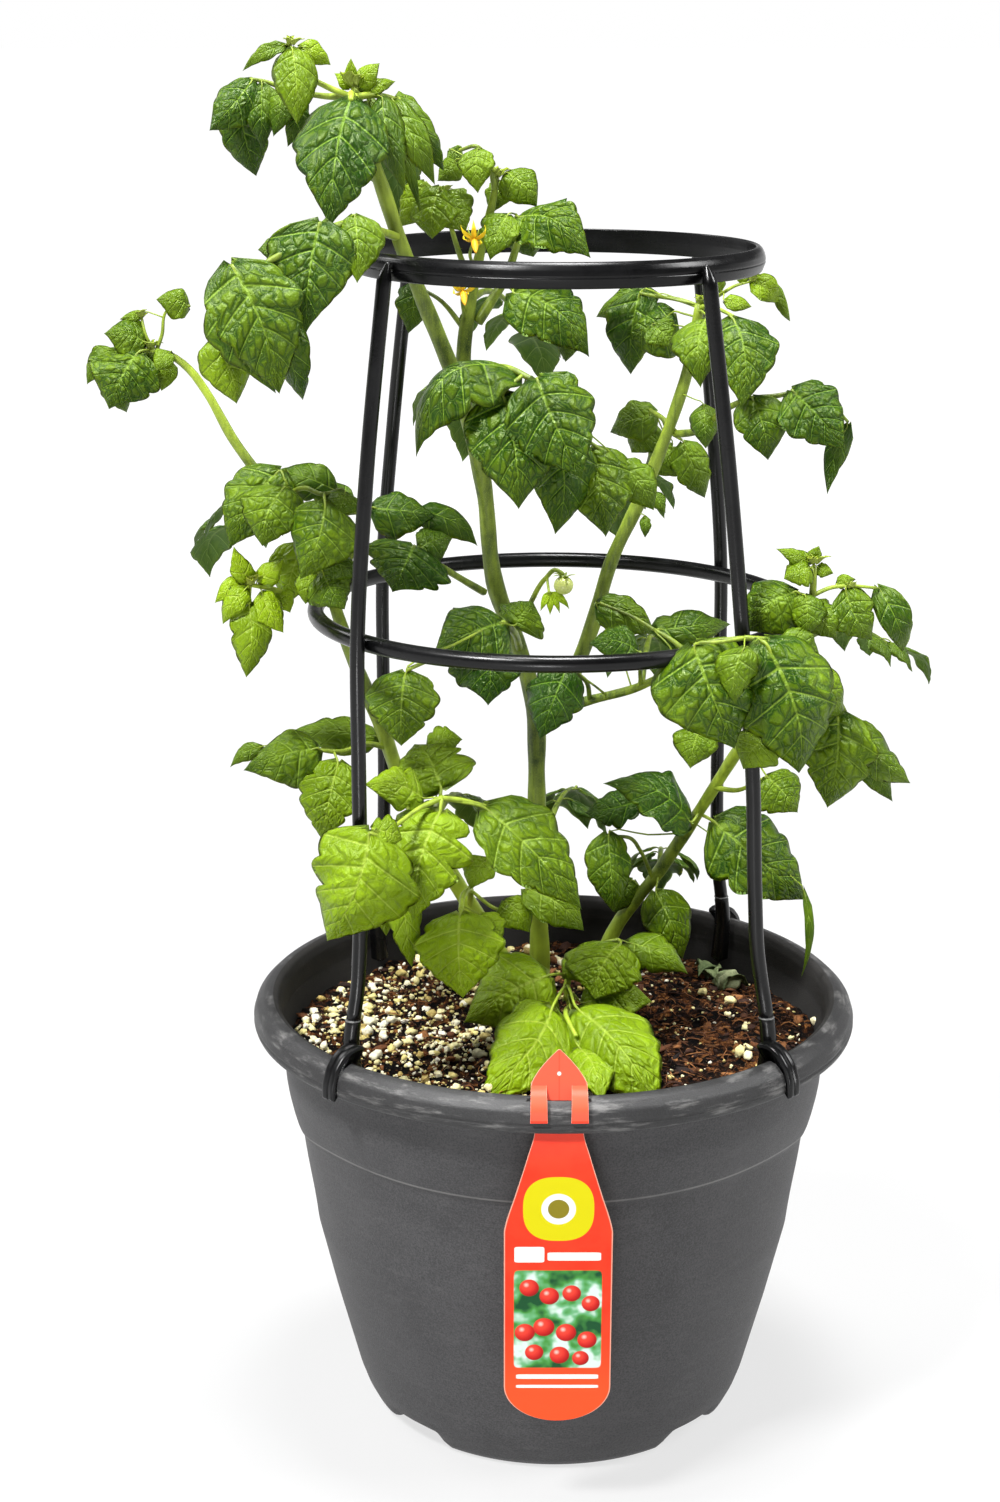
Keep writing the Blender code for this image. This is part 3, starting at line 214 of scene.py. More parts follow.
CENTRE_SHOOT = (
    Stalk(((463, 400, -8), (465, 340, -14), (473, 290, -20), (482, 245, -24), (492, 205, -26),
           (497, 178, -28)), (4.0, 1.2), (
        (478, 148, 478, 192, 19, -18, -10), (507, 172, 538, 205, 19, -26, -22),
        (503, 182, 491, 214, 13, -35, -34), (455, 160, 437, 181, 12, -34, -34),
        (450, 150, 464, 163, 10, -38, -40))),
    Stalk(((495, 192, -27), (488, 160, -25), (478, 147, -22), (460, 150, -30)), (1.4, 0.8)),
    Stalk(((478, 322, -17), (492, 300, -22), (505, 280, -26), (514, 255, -30), (519, 235, -33),
           (517, 216, -34)), (2.6, 1.4), (
        (517, 216, 585, 247, 33, -22, 4), (508, 214, 490, 259, 22, -20, -8),
        (524, 226, 535, 258, 20, -38, -40))),
    Stalk(((505, 280, -26), (513, 290, -10)), (1.2, 1.0), (
        (513, 291, 590, 353, 32, -8, 6), (572, 322, 565, 363, 14, -14, -16))),
    Stalk(((473, 290, -20), (455, 240, -20), (443, 195, -22)), (1.6, 1.0), (
        (440, 186, 432, 238, 26, -20, -12), (446, 192, 466, 232, 22, -26, -20),
        (424, 182, 397, 226, 18, -24, -22))),
    Stalk(((477, 270, -22), (470, 254, -8), (474, 240, 0)), (0.9, 0.7)),
    Stalk(((465, 320, -16), (462, 300, -4), (463, 292, 4)), (0.9, 0.7)),
    Stalk(((465, 330, -15), (440, 300, -24), (414, 285, -30)), (1.3, 0.8), (
        (412, 285, 408, 334, 19, -26, -24),)),
)
BACK_OF_CENTRE = (Frond((470, 300, -18), 160, 80),)
LEFT_SHOOT = (
    Stalk(((518, 995, -42), (502, 958, -40), (470, 905, -32), (430, 838, -20), (397, 770, -10),
           (383, 730, -4), (366, 690, 0), (350, 650, 4), (339, 618, 4), (333, 600, 2),
           (318, 570, 2), (300, 535, 4), (283, 505, 5), (250, 463, 6), (235, 442, 6),
           (205, 390, 6), (190, 370, 6), (170, 355, 5), (150, 350, 4)), (4.6, 1.6), (
        (118, 352, 86, 384, 15, 10, 14), (138, 352, 108, 408, 36, 12, 22), (112, 380, 129, 414, 14, 0, -4),
        (150, 353, 139, 386, 15, 2, 2), (171, 351, 156, 371, 11, 14, 20),
        (168, 360, 161, 391, 12, 10, 12))),
    Stalk(((150, 350, 4), (118, 352, 8)), (1.1, 0.8)),
    Stalk(((156, 352, 4), (162, 335, 4), (166, 312, 4), (172, 306, 4)), (1.0, 0.6), (
        (190, 306, 157, 298, 15, 4, 8, 0, 0.25), (146, 342, 104, 333, 24, 8, 14),
        (143, 312, 119, 318, 6, 0, 2))),
    Stalk(((156, 352, 4), (147, 338, 6), (141, 315, 2)), (0.9, 0.6)),
    Stalk(((172, 306, 4), (190, 306, 4)), (0.6, 0.6)),
    Stalk(((300, 535, 4), (292, 512, 18), (290, 490, 28)), (2.2, 1.4), (
        (280, 470, 229, 549, 34, 26, 34), (284, 487, 262, 546, 28, 38, 46),
        (302, 545, 286, 607, 24, 18, 20))),
    Stalk(((288, 494, 26), (305, 488, 32), (322, 494, 36), (343, 489, 34)), (1.25, 1.0), (
        (325, 503, 299, 579, 33, 46, 56), (336, 490, 272, 468, 17, 24, 20),
        (345, 491, 336, 516, 17, 38, 44))),
    Stalk(((312, 556, 3), (318, 562, 24), (320, 566, 38)), (1.5, 1.0), (
        (322, 556, 360, 575, 16, 38, 46), (323, 572, 345, 609, 21, 42, 50),
        (313, 572, 305, 604, 13, 36, 40))),
    Stalk(((318, 570, 2), (295, 592, 14), (268, 588, 28), (250, 585, 34)), (1.8, 1.0), (
        (248, 584, 214, 602, 13, 34, 38), (252, 582, 234, 546, 11, 34, 34),
        (257, 582, 284, 558, 12, 32, 32), (262, 592, 284, 632, 16, 34, 40),
        (249, 604, 246, 678, 21, 38, 44), (246, 588, 221, 624, 12, 38, 42),
        (277, 592, 291, 613, 12, 24, 24))),
    Stalk(((250, 585, 34), (249, 604, 37)), (0.9, 0.7)),
    Stalk(((328, 590, 2), (350, 560, 0), (350, 530, 0), (343, 517, 0), (372, 512, -4),
           (420, 510, -8)), (1.6, 1.0), (
        (372, 507, 437, 513, 22, 0, -4), (421, 510, 481, 545, 17, -8, -14),
        (352, 500, 300, 478, 15, -4, -10))),
    Stalk(((389, 748, -7), (365, 744, 4), (340, 752, 14), (320, 750, 18)), (1.5, 1.0), (
        (318, 748, 243, 770, 29, 20, 24), (262, 746, 228, 767, 9, 10, 10),
        (377, 736, 291, 730, 20, -14, -20), (338, 762, 321, 840, 33, 22, 34))),
)
LOWER_LEFT_LEAF = (
    Stalk(((430, 838, -20), (433, 820, 15), (440, 802, 48), (442, 798, 62)), (2.2, 1.5), (
        (440, 812, 414, 921, 48, 68, 84), (486, 808, 583, 909, 40, 58, 74),
        (441, 788, 413, 738, 44, 48, 26), (428, 746, 463, 738, 16, 22, 18),
        (424, 798, 365, 784, 23, 62, 70), (392, 868, 386, 938, 17, 26, 28),
        (402, 880, 412, 968, 16, 50, 54))),
    Stalk(((442, 798, 62), (462, 800, 60), (486, 806, 56)), (1.2, 1.0)),
    Stalk(((442, 798, 62), (420, 808, 72), (395, 826, 88), (380, 836, 98)), (1.3, 1.0), (
        (370, 833, 324, 943, 53, 101, 106), (372, 828, 404, 838, 18, 98, 96))),
    Stalk(((430, 838, -20), (410, 850, 10), (396, 862, 24)), (1.1, 0.9)),
    Stalk(((433, 820, 15), (410, 850, 40), (403, 872, 48)), (1.1, 0.9)),
)
LOW_FRONT_LEAF = (
    Stalk(((470, 905, -32), (470, 890, 0), (462, 900, 40), (461, 910, 54)), (1.8, 1.3), (
        (460, 914, 463, 998, 44, 56, 72), (480, 915, 498, 952, 18, 48, 54),
        (488, 858, 470, 889, 16, 20, 28))),
    Stalk(((470, 890, 0), (480, 872, 8), (488, 858, 16)), (1.0, 0.8)),
    Stalk(((470, 890, 0), (500, 910, 8), (530, 905, 8)), (1.0, 0.8), (
        (505, 900, 531, 931, 20, 12, 18), (526, 888, 585, 930, 25, 10, 14))),
)
BACK_OF_LEFT = (Frond((283, 505, 5), 205, 80), Frond((430, 838, -20), 166, 70, 20))
RIGHT_TALL_SHOOT = (
    Stalk(((536, 730, -39), (553, 711, -38), (570, 681, -36), (591, 630, -34), (612, 560, -32),
           (640, 500, -32), (672, 420, -32), (688, 370, -32), (700, 305, -32)), (4.4, 2.6), (
        (672, 312, 622, 338, 27, -40, -44), (640, 292, 630, 375, 25, -50, -46),
        (652, 325, 672, 346, 18, -22, -18), (655, 294, 592, 314, 17, -56, -66),
        (706, 318, 701, 382, 26, -6, 14), (733, 318, 741, 408, 34, 0, 22),
        (704, 405, 706, 448, 14, -14, -8), (655, 492, 666, 513, 9, -28, -26),
        (645, 516, 645, 538, 6, -28, -26))),
    Stalk(((700, 307, -32), (680, 300, -38), (655, 296, -46), (640, 293, -50)), (1.2, 0.8)),
    Stalk(((700, 307, -32), (716, 308, -16), (733, 316, -4)), (1.3, 0.9)),
    Stalk(((700, 305, -32), (718, 296, -30), (735, 286, -28), (752, 281, -26)), (1.1, 0.6), (
        (752, 279, 780, 302, 13, -26, -26, 0, 0.25), (776, 284, 791, 322, 6, -32, -34, 0, 0.25),
        (722, 292, 712, 274, 9, -26, -24), (742, 284, 744, 268, 6, -26, -26),
        (724, 300, 752, 306, 9, -20, -18))),
    Stalk(((752, 281, -26), (776, 284, -31)), (0.7, 0.6)),
    Stalk(((677, 434, -31), (698, 431, -20), (728, 408, -6), (755, 398, 4), (775, 396, 4),
           (795, 392, 4)), (1.9, 1.0), (
        (752, 397, 769, 458, 27, 8, 18), (792, 390, 846, 449, 35, 6, 18),
        (848, 424, 827, 495, 11, 0, 4, 0, -0.2))),
    Stalk(((795, 392, 4), (825, 398, 0), (848, 422, -2)), (0.9, 0.7)),
    Stalk(((677, 434, -31), (662, 418, -42), (650, 410, -52)), (1.4, 1.0), (
        (655, 412, 607, 430, 20, -54, -60), (650, 422, 630, 453, 22, -58, -60),
        (672, 446, 642, 472, 20, -56, -58), (684, 444, 706, 499, 19, -52, -56))),
    Stalk(((662, 418, -42), (672, 434, -54), (682, 440, -54)), (0.9, 0.7)),
)
BACK_OF_RIGHT = (Frond((650, 480, -32), 185, 75),)
RIGHT_MIDDLE_BRANCH = (
    Stalk(((534, 713, -37), (546, 712, -22), (590, 700, -8), (641, 686, 6), (668, 672, 16),
           (690, 655, 20)), (3.0, 1.5), (
        (700, 728, 690, 768, 21, 22, 30), (655, 629, 735, 617, 21, 10, 0), (598, 602, 658, 631, 20, -4, 0),
        (640, 652, 592, 642, 22, 26, 34), (566, 668, 539, 737, 29, 22, 36))),
    Stalk(((690, 655, 20), (672, 640, 16), (655, 630, 10)), (1.2, 0.9)),
    Stalk(((655, 630, 10), (635, 618, 4), (600, 603, -4)), (0.9, 0.8)),
    Stalk(((641, 686, 6), (640, 665, 18), (640, 652, 25)), (1.2, 0.9)),
    Stalk(((590, 700, -8), (585, 680, 8), (567, 668, 20)), (1.3, 1.0)),
    Stalk(((690, 655, 20), (700, 690, 20), (700, 727, 21)), (1.2, 0.9)),
)
BACK_OF_MIDDLE = (Frond((641, 686, 6), 172, 80, 25),)
RIGHT_LOW_SHOOT = (
    Stalk(((594, 988, -56), (612, 935, -56), (660, 870, -44), (700, 810, -24), (735, 755, 0),
           (765, 710, 30), (790, 672, 62), (800, 632, 74), (812, 598, 76), (814, 568, 74)),
          (4.0, 1.4), (
        (692, 822, 612, 776, 34, -16, -8, 20), (640, 800, 584, 812, 24, -30, -34),
        (608, 834, 614, 914, 24, -10, -2), (716, 823, 809, 898, 44, -24, -16),
        (804, 890, 801, 978, 5, -16, -10, 0, 0.12), (656, 892, 684, 959, 25, -30, -20),
        (632, 880, 614, 913, 18, -50, -48), (767, 776, 799, 811, 28, 18, 26))),
    Stalk(((653, 879, -45), (640, 850, -30), (630, 838, -20), (612, 836, -12)), (1.2, 0.9)),
    Stalk(((716, 788, -12), (738, 790, 0), (757, 782, 12), (767, 777, 17)), (1.3, 0.9)),
    Stalk(((790, 672, 62), (782, 650, 84), (766, 640, 104), (745, 638, 110)), (2.0, 1.3), (
        (694, 646, 737, 750, 49, 112, 120), (765, 643, 803, 778, 47, 112, 114),
        (744, 648, 735, 704, 18, 120, 124), (765, 738, 742, 769, 24, 103, 105))),
    Stalk(((745, 638, 110), (720, 640, 109), (694, 645, 107)), (1.2, 0.9)),
    Stalk(((790, 672, 62), (815, 675, 76), (838, 700, 78), (850, 722, 74)), (1.6, 1.0), (
        (806, 668, 850, 716, 24, 88, 86), (838, 714, 826, 812, 37, 82, 84),
        (853, 725, 914, 783, 20, 72, 74), (868, 744, 893, 802, 16, 66, 64),
        (782, 640, 822, 656, 20, 92, 90))),
    Stalk(((812, 598, 76), (800, 594, 80)), (1.0, 0.8), (
        (797, 591, 747, 629, 30, 80, 84), (805, 595, 803, 639, 19, 84, 88),
        (814, 602, 838, 639, 17, 80, 84))),
    Stalk(((812, 596, 76), (830, 588, 76), (850, 586, 74), (876, 588, 72)), (1.1, 0.7), (
        (846, 590, 873, 640, 23, 76, 80), (879, 588, 907, 655, 16, 70, 70, 0, 0.22),
        (836, 584, 856, 578, 7, 74, 74))),
    Stalk(((814, 570, 74), (814, 564, 74)), (0.9, 0.6), (
        (812, 562, 778, 547, 10, 74, 76), (811, 567, 784, 578, 15, 78, 82), (814, 563, 819, 546, 7, 72, 72),
        (817, 566, 834, 572, 8, 74, 76))),
)
BACK_OF_LOW = (Frond((800, 640, 72), 118, 52), Frond((660, 870, -44), 176, 70))
BASE_SPROUT = (
    Stalk(((573, 1032, -2), (571, 1006, 4), (567, 985, 6), (575, 965, 4), (600, 945, 2),
           (618, 940, 4)), (2.2, 1.2), (
        (548, 975, 463, 1021, 46, 22, 34, 0, 0.16), (552, 1008, 478, 1098, 47, 40, 88, 0, 0.10),
        (577, 1008, 657, 1100, 42, 42, 92, 0, 0.10), (583, 1003, 653, 998, 27, 22, 20),
        (621, 943, 595, 999, 39, 14, 36), (627, 942, 690, 972, 20, 8, 14), (582, 960, 562, 978, 20, 8, 12),
        (578, 1046, 600, 1094, 24, 60, 94, 0, 0.06))),
    Stalk(((571, 1006, 4), (566, 1012, 30), (567, 1018, 44), (576, 1036, 58)), (1.5, 1.1)),
)

YOUNG_TRUSS = (
    Stalk(((514, 632, -31), (530, 604, -10), (546, 578, 2), (556, 570, 6), (563, 574, 7)),
          (1.5, 0.9)),
    Stalk(((547, 577, 2), (548, 585, 6), (549, 592, 9)), (0.7, 0.6), (
        (548, 592, 540, 611, 3.5, 9, 11), (549, 593, 550, 615, 4, 9, 12), (550, 593, 560, 613, 3.5, 9, 12),
        (551, 592, 570, 609, 4, 9, 10))),
)
FRUIT_AT = (563.5, 574.5, 7)
FRUIT_R = 0.0048
FLOWERS = {"flower_upper": ((474, 239, 0), 0.0080), "flower_lower": ((463, 291, 4), 0.0076)}


def unit(way: Array) -> Array:
    """Scales directions to length 1, the last axis holding x, y and z."""
    way = np.asarray(way, float)
    return way / np.maximum(np.linalg.norm(way, axis=-1, keepdims=True), 1e-12)


def path_length(points: Array) -> float:
    """Measures a polyline."""
    return float(np.linalg.norm(np.diff(points, axis=0), axis=1).sum())


def ring_angles(count: int) -> Array:
    """Spreads angles round a circle, in radians."""
    return np.arange(count) * 2 * np.pi / count


def smooth_path(points: Array, count: int) -> Array:
    """Runs a smooth curve through points.

    Each span is a cubic whose ends have the slope of the line between the neighbours of its ends,
    so that the curve passes through every point.

    Args:
        points: (n, d) points, with any further values of each, such as a radius, as more columns.
        count: the number of points on the curve.

    Returns:
        (count, d) points, evenly spread over the spans by their lengths.
    """
    points = np.asarray(points, float)
    reach = np.maximum(np.linalg.norm(np.diff(points[:, :3], axis=0), axis=1), 1e-6)
    at = np.concatenate([[0.0], np.cumsum(reach)])
    slopes = np.gradient(points, at, axis=0)
    where = np.linspace(0.0, at[-1], count)
    span = np.clip(np.searchsorted(at, where, side="right") - 1, 0, len(reach) - 1)
    long = reach[span][:, None]
    t = (where[:, None] - at[span][:, None]) / long
    a, b = points[span], points[span + 1]
    ma, mb = slopes[span] * long, slopes[span + 1] * long
    return ((2 * t**3 - 3 * t**2 + 1) * a + (t**3 - 2 * t**2 + t) * ma
            + (3 * t**2 - 2 * t**3) * b + (t**3 - t**2) * mb)


def around(radius: float, height: float, azimuth: float) -> Array:
    """Finds the point at a radius, height and azimuth, in degrees from the front, + to +X."""
    angle = np.radians(azimuth)
    return np.array([radius * np.sin(angle), -radius * np.cos(angle), height])


def polyline_spot(points: Array, target: Array) -> Array:
    """Finds the point of a polyline that lies nearest to a target.

    Args:
        points: (n, 3) points of the polyline.
        target: where to be near to.

    Returns:
        The point.
    """
    a, step = points[:-1], np.diff(points, axis=0)
    share = np.clip(((target - a) * step).sum(1) / np.maximum((step * step).sum(1), 1e-12), 0, 1)
    spots = a + share[:, None] * step
    return spots[np.argmin(np.linalg.norm(spots - target, axis=1))]


def settle(piece: Piece, node: str) -> Piece:
    """Lets a piece ride on the body and stand for its node, whose imported part it hides.

    Args:
        piece: the piece.
        node: the node that it stands for.

    Returns:
        The same piece.
    """
    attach(piece, "root")
    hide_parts(node)
    log.info("%s: %d faces for %s", piece.name, len(piece.data.polygons), node)
    return piece


class Skin:
    """Patches of surface that become one mesh.

    Every patch brings its points, its faces and, for each point, the values that the materials
    read: leaf, which is the place on a leaf as (-1 to 1 across, vein number along), and tone,
    which is (age, stagger of the veins, own tint, or for a leaflet how large it is).
    """

    def __init__(self) -> None:
        """Starts with nothing."""
        self.count = 0
        self.points: list[Array] = []
        self.leaf: list[Array] = []
        self.tone: list[Array] = []
        self.faces: list[tuple[Array, int]] = []

    def patch(self, points: Array, faces: Sequence[Array], number: Any = 0, leaf: Optional[Array] = None,
              tone: Sequence[float] = (0.0, 0.0, 0.0)) -> None:
        """Adds a patch.

        Args:
            points: (n, 3) places.
            faces: arrays (m, corners) of indices of the patch's own points.
            number: the number of the material, or one for each array of faces.
            leaf: (n, 2) places on the leaf, if it is one.
            tone: the three values that the whole patch shares, or (n, 3) of them.
        """
        points = np.asarray(points, float)
        self.points.append(points)
        self.leaf.append(np.zeros((len(points), 2)) if leaf is None else leaf)
        self.tone.append(np.broadcast_to(np.asarray(tone, float), (len(points), 3)))
        self.faces += [(np.asarray(f) + self.count, n)
                       for f, n in zip(faces, np.broadcast_to(number, len(faces)))]
        self.count += len(points)

    def build(self, name: str, materials: Sequence[Material],
              sharp: Optional[float] = None) -> Piece:
        """Makes the object.

        Args:
            name: the piece's name.
            materials: what the faces' numbers stand for.
            sharp: the angle, in degrees, past which an edge stays sharp, or None for no such edge.

        Returns:
            The new object, at the origin.
        """
        mesh = bpy.data.meshes.new(name)
        points = np.concatenate(self.points)
        corners = np.concatenate([f.ravel() for f, _ in self.faces])
        sizes = np.concatenate([np.full(len(f), f.shape[1]) for f, _ in self.faces])
        numbers = np.concatenate([np.full(len(f), number) for f, number in self.faces])
        mesh.vertices.add(len(points))
        mesh.vertices.foreach_set("co", points.astype(np.float32).ravel())
        mesh.loops.add(len(corners))
        mesh.loops.foreach_set("vertex_index", corners.astype(np.int32))
        mesh.polygons.add(len(sizes))
        mesh.polygons.foreach_set("loop_start", (np.cumsum(sizes) - sizes).astype(np.int32))
        mesh.polygons.foreach_set("material_index", numbers.astype(np.int32))
        mesh.update(calc_edges=True)
        leaf = mesh.uv_layers.new(name="leaf")
        leaf.data.foreach_set("uv", np.concatenate(self.leaf)[corners].astype(np.float32).ravel())
        tone = mesh.attributes.new("tone", "FLOAT_VECTOR", "POINT")
        tone.data.foreach_set("vector", np.concatenate(self.tone).astype(np.float32).ravel())
        mesh.shade_smooth()
        if sharp is not None:
            mesh.set_sharp_from_angle(angle=np.radians(sharp))
        for material in materials:
            mesh.materials.append(material)
        mesh.validate()
        made = bpy.data.objects.new(name, mesh)
        bpy.context.scene.collection.objects.link(made)
        return made


def grid_faces(rows: int, columns: int, wrap: bool = False) -> Array:
    """Numbers the quads of a grid of points.

    Args:
        rows: points along the first parameter.
        columns: points along the second, which may come round to the first again.
        wrap: whether they do.

    Returns:
        (m, 4) indices, in the order (row, column), (row, column + 1), (row + 1, column + 1),
        (row + 1, column).
    """
    i, j = np.indices((rows - 1, columns if wrap else columns - 1)).reshape(2, -1)
    after = (j + 1) % columns
    return np.stack([i * columns + j, i * columns + after, (i + 1) * columns + after,
                     (i + 1) * columns + j], axis=1)


def ring_faces(rings: int, sides: int) -> list[Array]:
    """Numbers the quads of rings of points and the triangles to the two end points after them.

    Args:
        rings: how many rings.
        sides: points round a ring.

    Returns:
        The array of quads and that of triangles.
    """
    here, count = np.arange(sides), rings * sides
    after = (here + 1) % sides
    first = np.stack([after, here, np.full(sides, count)], axis=1)
    last = np.stack([count - sides + here, count - sides + after, np.full(sides, count + 1)], axis=1)
    return [grid_faces(rings, sides, True), np.concatenate([first, last])]


def tube(points: Array, radii: Array, sides: int, ribs: float = 0.0) -> tuple[Array, list[Array]]:
    """Runs a round skin along a path, closed at both ends by a point.

    A ring lies square to the path at each of its points: r (cos a, sin a) in the plane of two
    directions square to the path, with r (1 + ribs cos 5a) where the skin has ribs.

    Args:
        points: (n, 3) points of the path.
        radii: (n,) radii there.
        sides: points round a ring.
        ribs: how far five ribs stand out, as a share of the radius.

    Returns:
        The points, the rings first and then both ends, and the arrays of quads and triangles.
    """
    points, radii = np.asarray(points, float), np.asarray(radii, float)
    way = unit(np.gradient(points, axis=0))
    least = np.eye(3)[np.argmin(np.abs(way).max(axis=0))]
    aside = unit(np.cross(way, least))
    other = np.cross(way, aside)
    angle = ring_angles(sides)
    swell = radii[:, None] * (1 + ribs * np.cos(5 * angle))[None, :]
    rings = (points[:, None, :] + (swell * np.cos(angle))[..., None] * aside[:, None, :]
             + (swell * np.sin(angle))[..., None] * other[:, None, :])
    ends = [points[0] - way[0] * radii[0] * 0.4, points[-1] + way[-1] * radii[-1] * 0.6]
    return np.concatenate([rings.reshape(-1, 3), ends]), ring_faces(len(points), sides)


def turned(profile: Array, segments: int) -> tuple[Array, list[Array]]:
    """Turns a closed profile of (radius, height) about Z.

    The profile is walked so that the solid lies to its left, seen with +Z up and the radius to the
    right, and each of its points makes a ring at azimuths 2 pi k / segments from the front.

    Args:
        profile: (n, 2) radii and heights, all radii above 0.
        segments: points round a ring.

    Returns:
        The points and the array of quads.
    """
    angle = ring_angles(segments)
    radius, height = np.asarray(profile, float).T
    points = np.stack([radius[:, None] * np.sin(angle), -radius[:, None] * np.cos(angle),
                       np.broadcast_to(height[:, None], (len(radius), segments))], axis=-1)
    count = len(radius)
    return points.reshape(-1, 3), [grid_faces(count + 1, segments, True) % (count * segments)]


def rounded(corners: Sequence[tuple[float, float]], radius: float, steps: int) -> Array:
    """Rounds the corners of a closed outline.

    Each corner gives way to a curve that starts and ends radius away from it, or less where the
    sides are short: (1 - t)^2 a + 2 t (1 - t) corner + t^2 b.

    Args:
        corners: (x, y) of each corner.
        radius: how far from the corner the curve starts.
        steps: pieces of each curve.

    Returns:
        (n, 2) points of the rounded outline.
    """
    at = np.asarray(corners, float)
    before, after = np.roll(at, 1, axis=0) - at, np.roll(at, -1, axis=0) - at
    room = np.minimum(np.linalg.norm(before, axis=1), np.linalg.norm(after, axis=1)) * 0.45
    reach = np.minimum(room, radius)[:, None]
    a, b = at + unit(before) * reach, at + unit(after) * reach
    t = np.linspace(0, 1, steps + 1)[None, :, None]
    return ((1 - t)**2 * a[:, None] + 2 * t * (1 - t) * at[:, None] + t**2 * b[:, None]).reshape(-1, 2)


def whole(name: str, made: tuple[Array, list[Array]], finish: Material, node: str,
          sharp: Optional[float] = None) -> Piece:
    """Makes and settles a piece of one patch and one finish.

    Args:
        name: the piece's name.
        made: its points and faces.
        finish: its material.
        node: the node that it stands for.
        sharp: the angle, in degrees, past which an edge stays sharp, or None for no such edge.

    Returns:
        The piece.
    """
    skin = Skin()
    skin.patch(*made)
    return settle(skin.build(name, [finish], sharp), node)


class Value:
    """A number or colour that nodes work out, with signs for the sums that the finishes need."""

    def __init__(self, nodes: "Nodes", socket: bpy.types.NodeSocket) -> None:
        """Keeps the nodes that it belongs to and its socket."""
        self.nodes, self.socket = nodes, socket

    def math(self, operation: str, *others: Term) -> "Value":
        """Works out a number from this one and up to two others."""
        return self.nodes.add("ShaderNodeMath", dict(enumerate((self, *others))), operation=operation)

    def __add__(self, other: Term) -> "Value":
        """Adds."""
        return self.math("ADD", other)

    def __sub__(self, other: Term) -> "Value":
        """Takes away."""
        return self.math("SUBTRACT", other)

    def __mul__(self, other: Term) -> "Value":
        """Multiplies."""
        return self.math("MULTIPLY", other)

    def __truediv__(self, other: Term) -> "Value":
        """Divides."""
        return self.math("DIVIDE", other)

    def __pow__(self, other: Term) -> "Value":
        """Raises to a power."""
        return self.math("POWER", other)

    def __abs__(self) -> "Value":
        """Drops the sign."""
        return self.math("ABSOLUTE")

    def most(self, other: Term) -> "Value":
        """Takes the larger of two numbers."""
        return self.math("MAXIMUM", other)

    def fade(self, low: float, high: float, start: float = 0.0, end: float = 1.0) -> "Value":
        """Goes smoothly from start to end while this number goes from low to high."""
        return self.nodes.add("ShaderNodeMapRange", {0: self, 1: low, 2: high, 3: start, 4: end},
                              interpolation_type="SMOOTHSTEP")


class Nodes:
    """The nodes of a material or of the surroundings."""

    def __init__(self, tree: bpy.types.NodeTree) -> None:
        """Keeps the tree."""
        self.tree = tree

    def fill(self, node: bpy.types.Node, inputs: dict) -> None:
        """Gives each named or numbered input of a node a constant or a link.

        Args:
            node: the node.
            inputs: a constant or a Value for each input.
        """
        for key, value in inputs.items():
            if isinstance(value, Value):
                self.tree.links.new(value.socket, node.inputs[key])
            else:
                node.inputs[key].default_value = value

    def node(self, kind: str, inputs: dict, **settings: Any) -> bpy.types.Node:
        """Adds a node.

        Args:
            kind: the node's type.
            inputs: a constant or a Value for each named or numbered input.
            settings: the node's own properties.

        Returns:
            The node.
        """
        made = self.tree.nodes.new(kind)
        for key, value in settings.items():
            setattr(made, key, value)
        self.fill(made, inputs)
        return made

    def add(self, kind: str, inputs: dict, output: Any = 0, **settings: Any) -> Value:
        """Adds a node as node does and gives one of its outputs."""
        return Value(self, self.node(kind, inputs, **settings).outputs[output])

    def split(self, vector: Value) -> list[Value]:
        """Splits a vector into its three numbers."""
        return [Value(self, s) for s in self.node("ShaderNodeSeparateXYZ", {0: vector}).outputs]


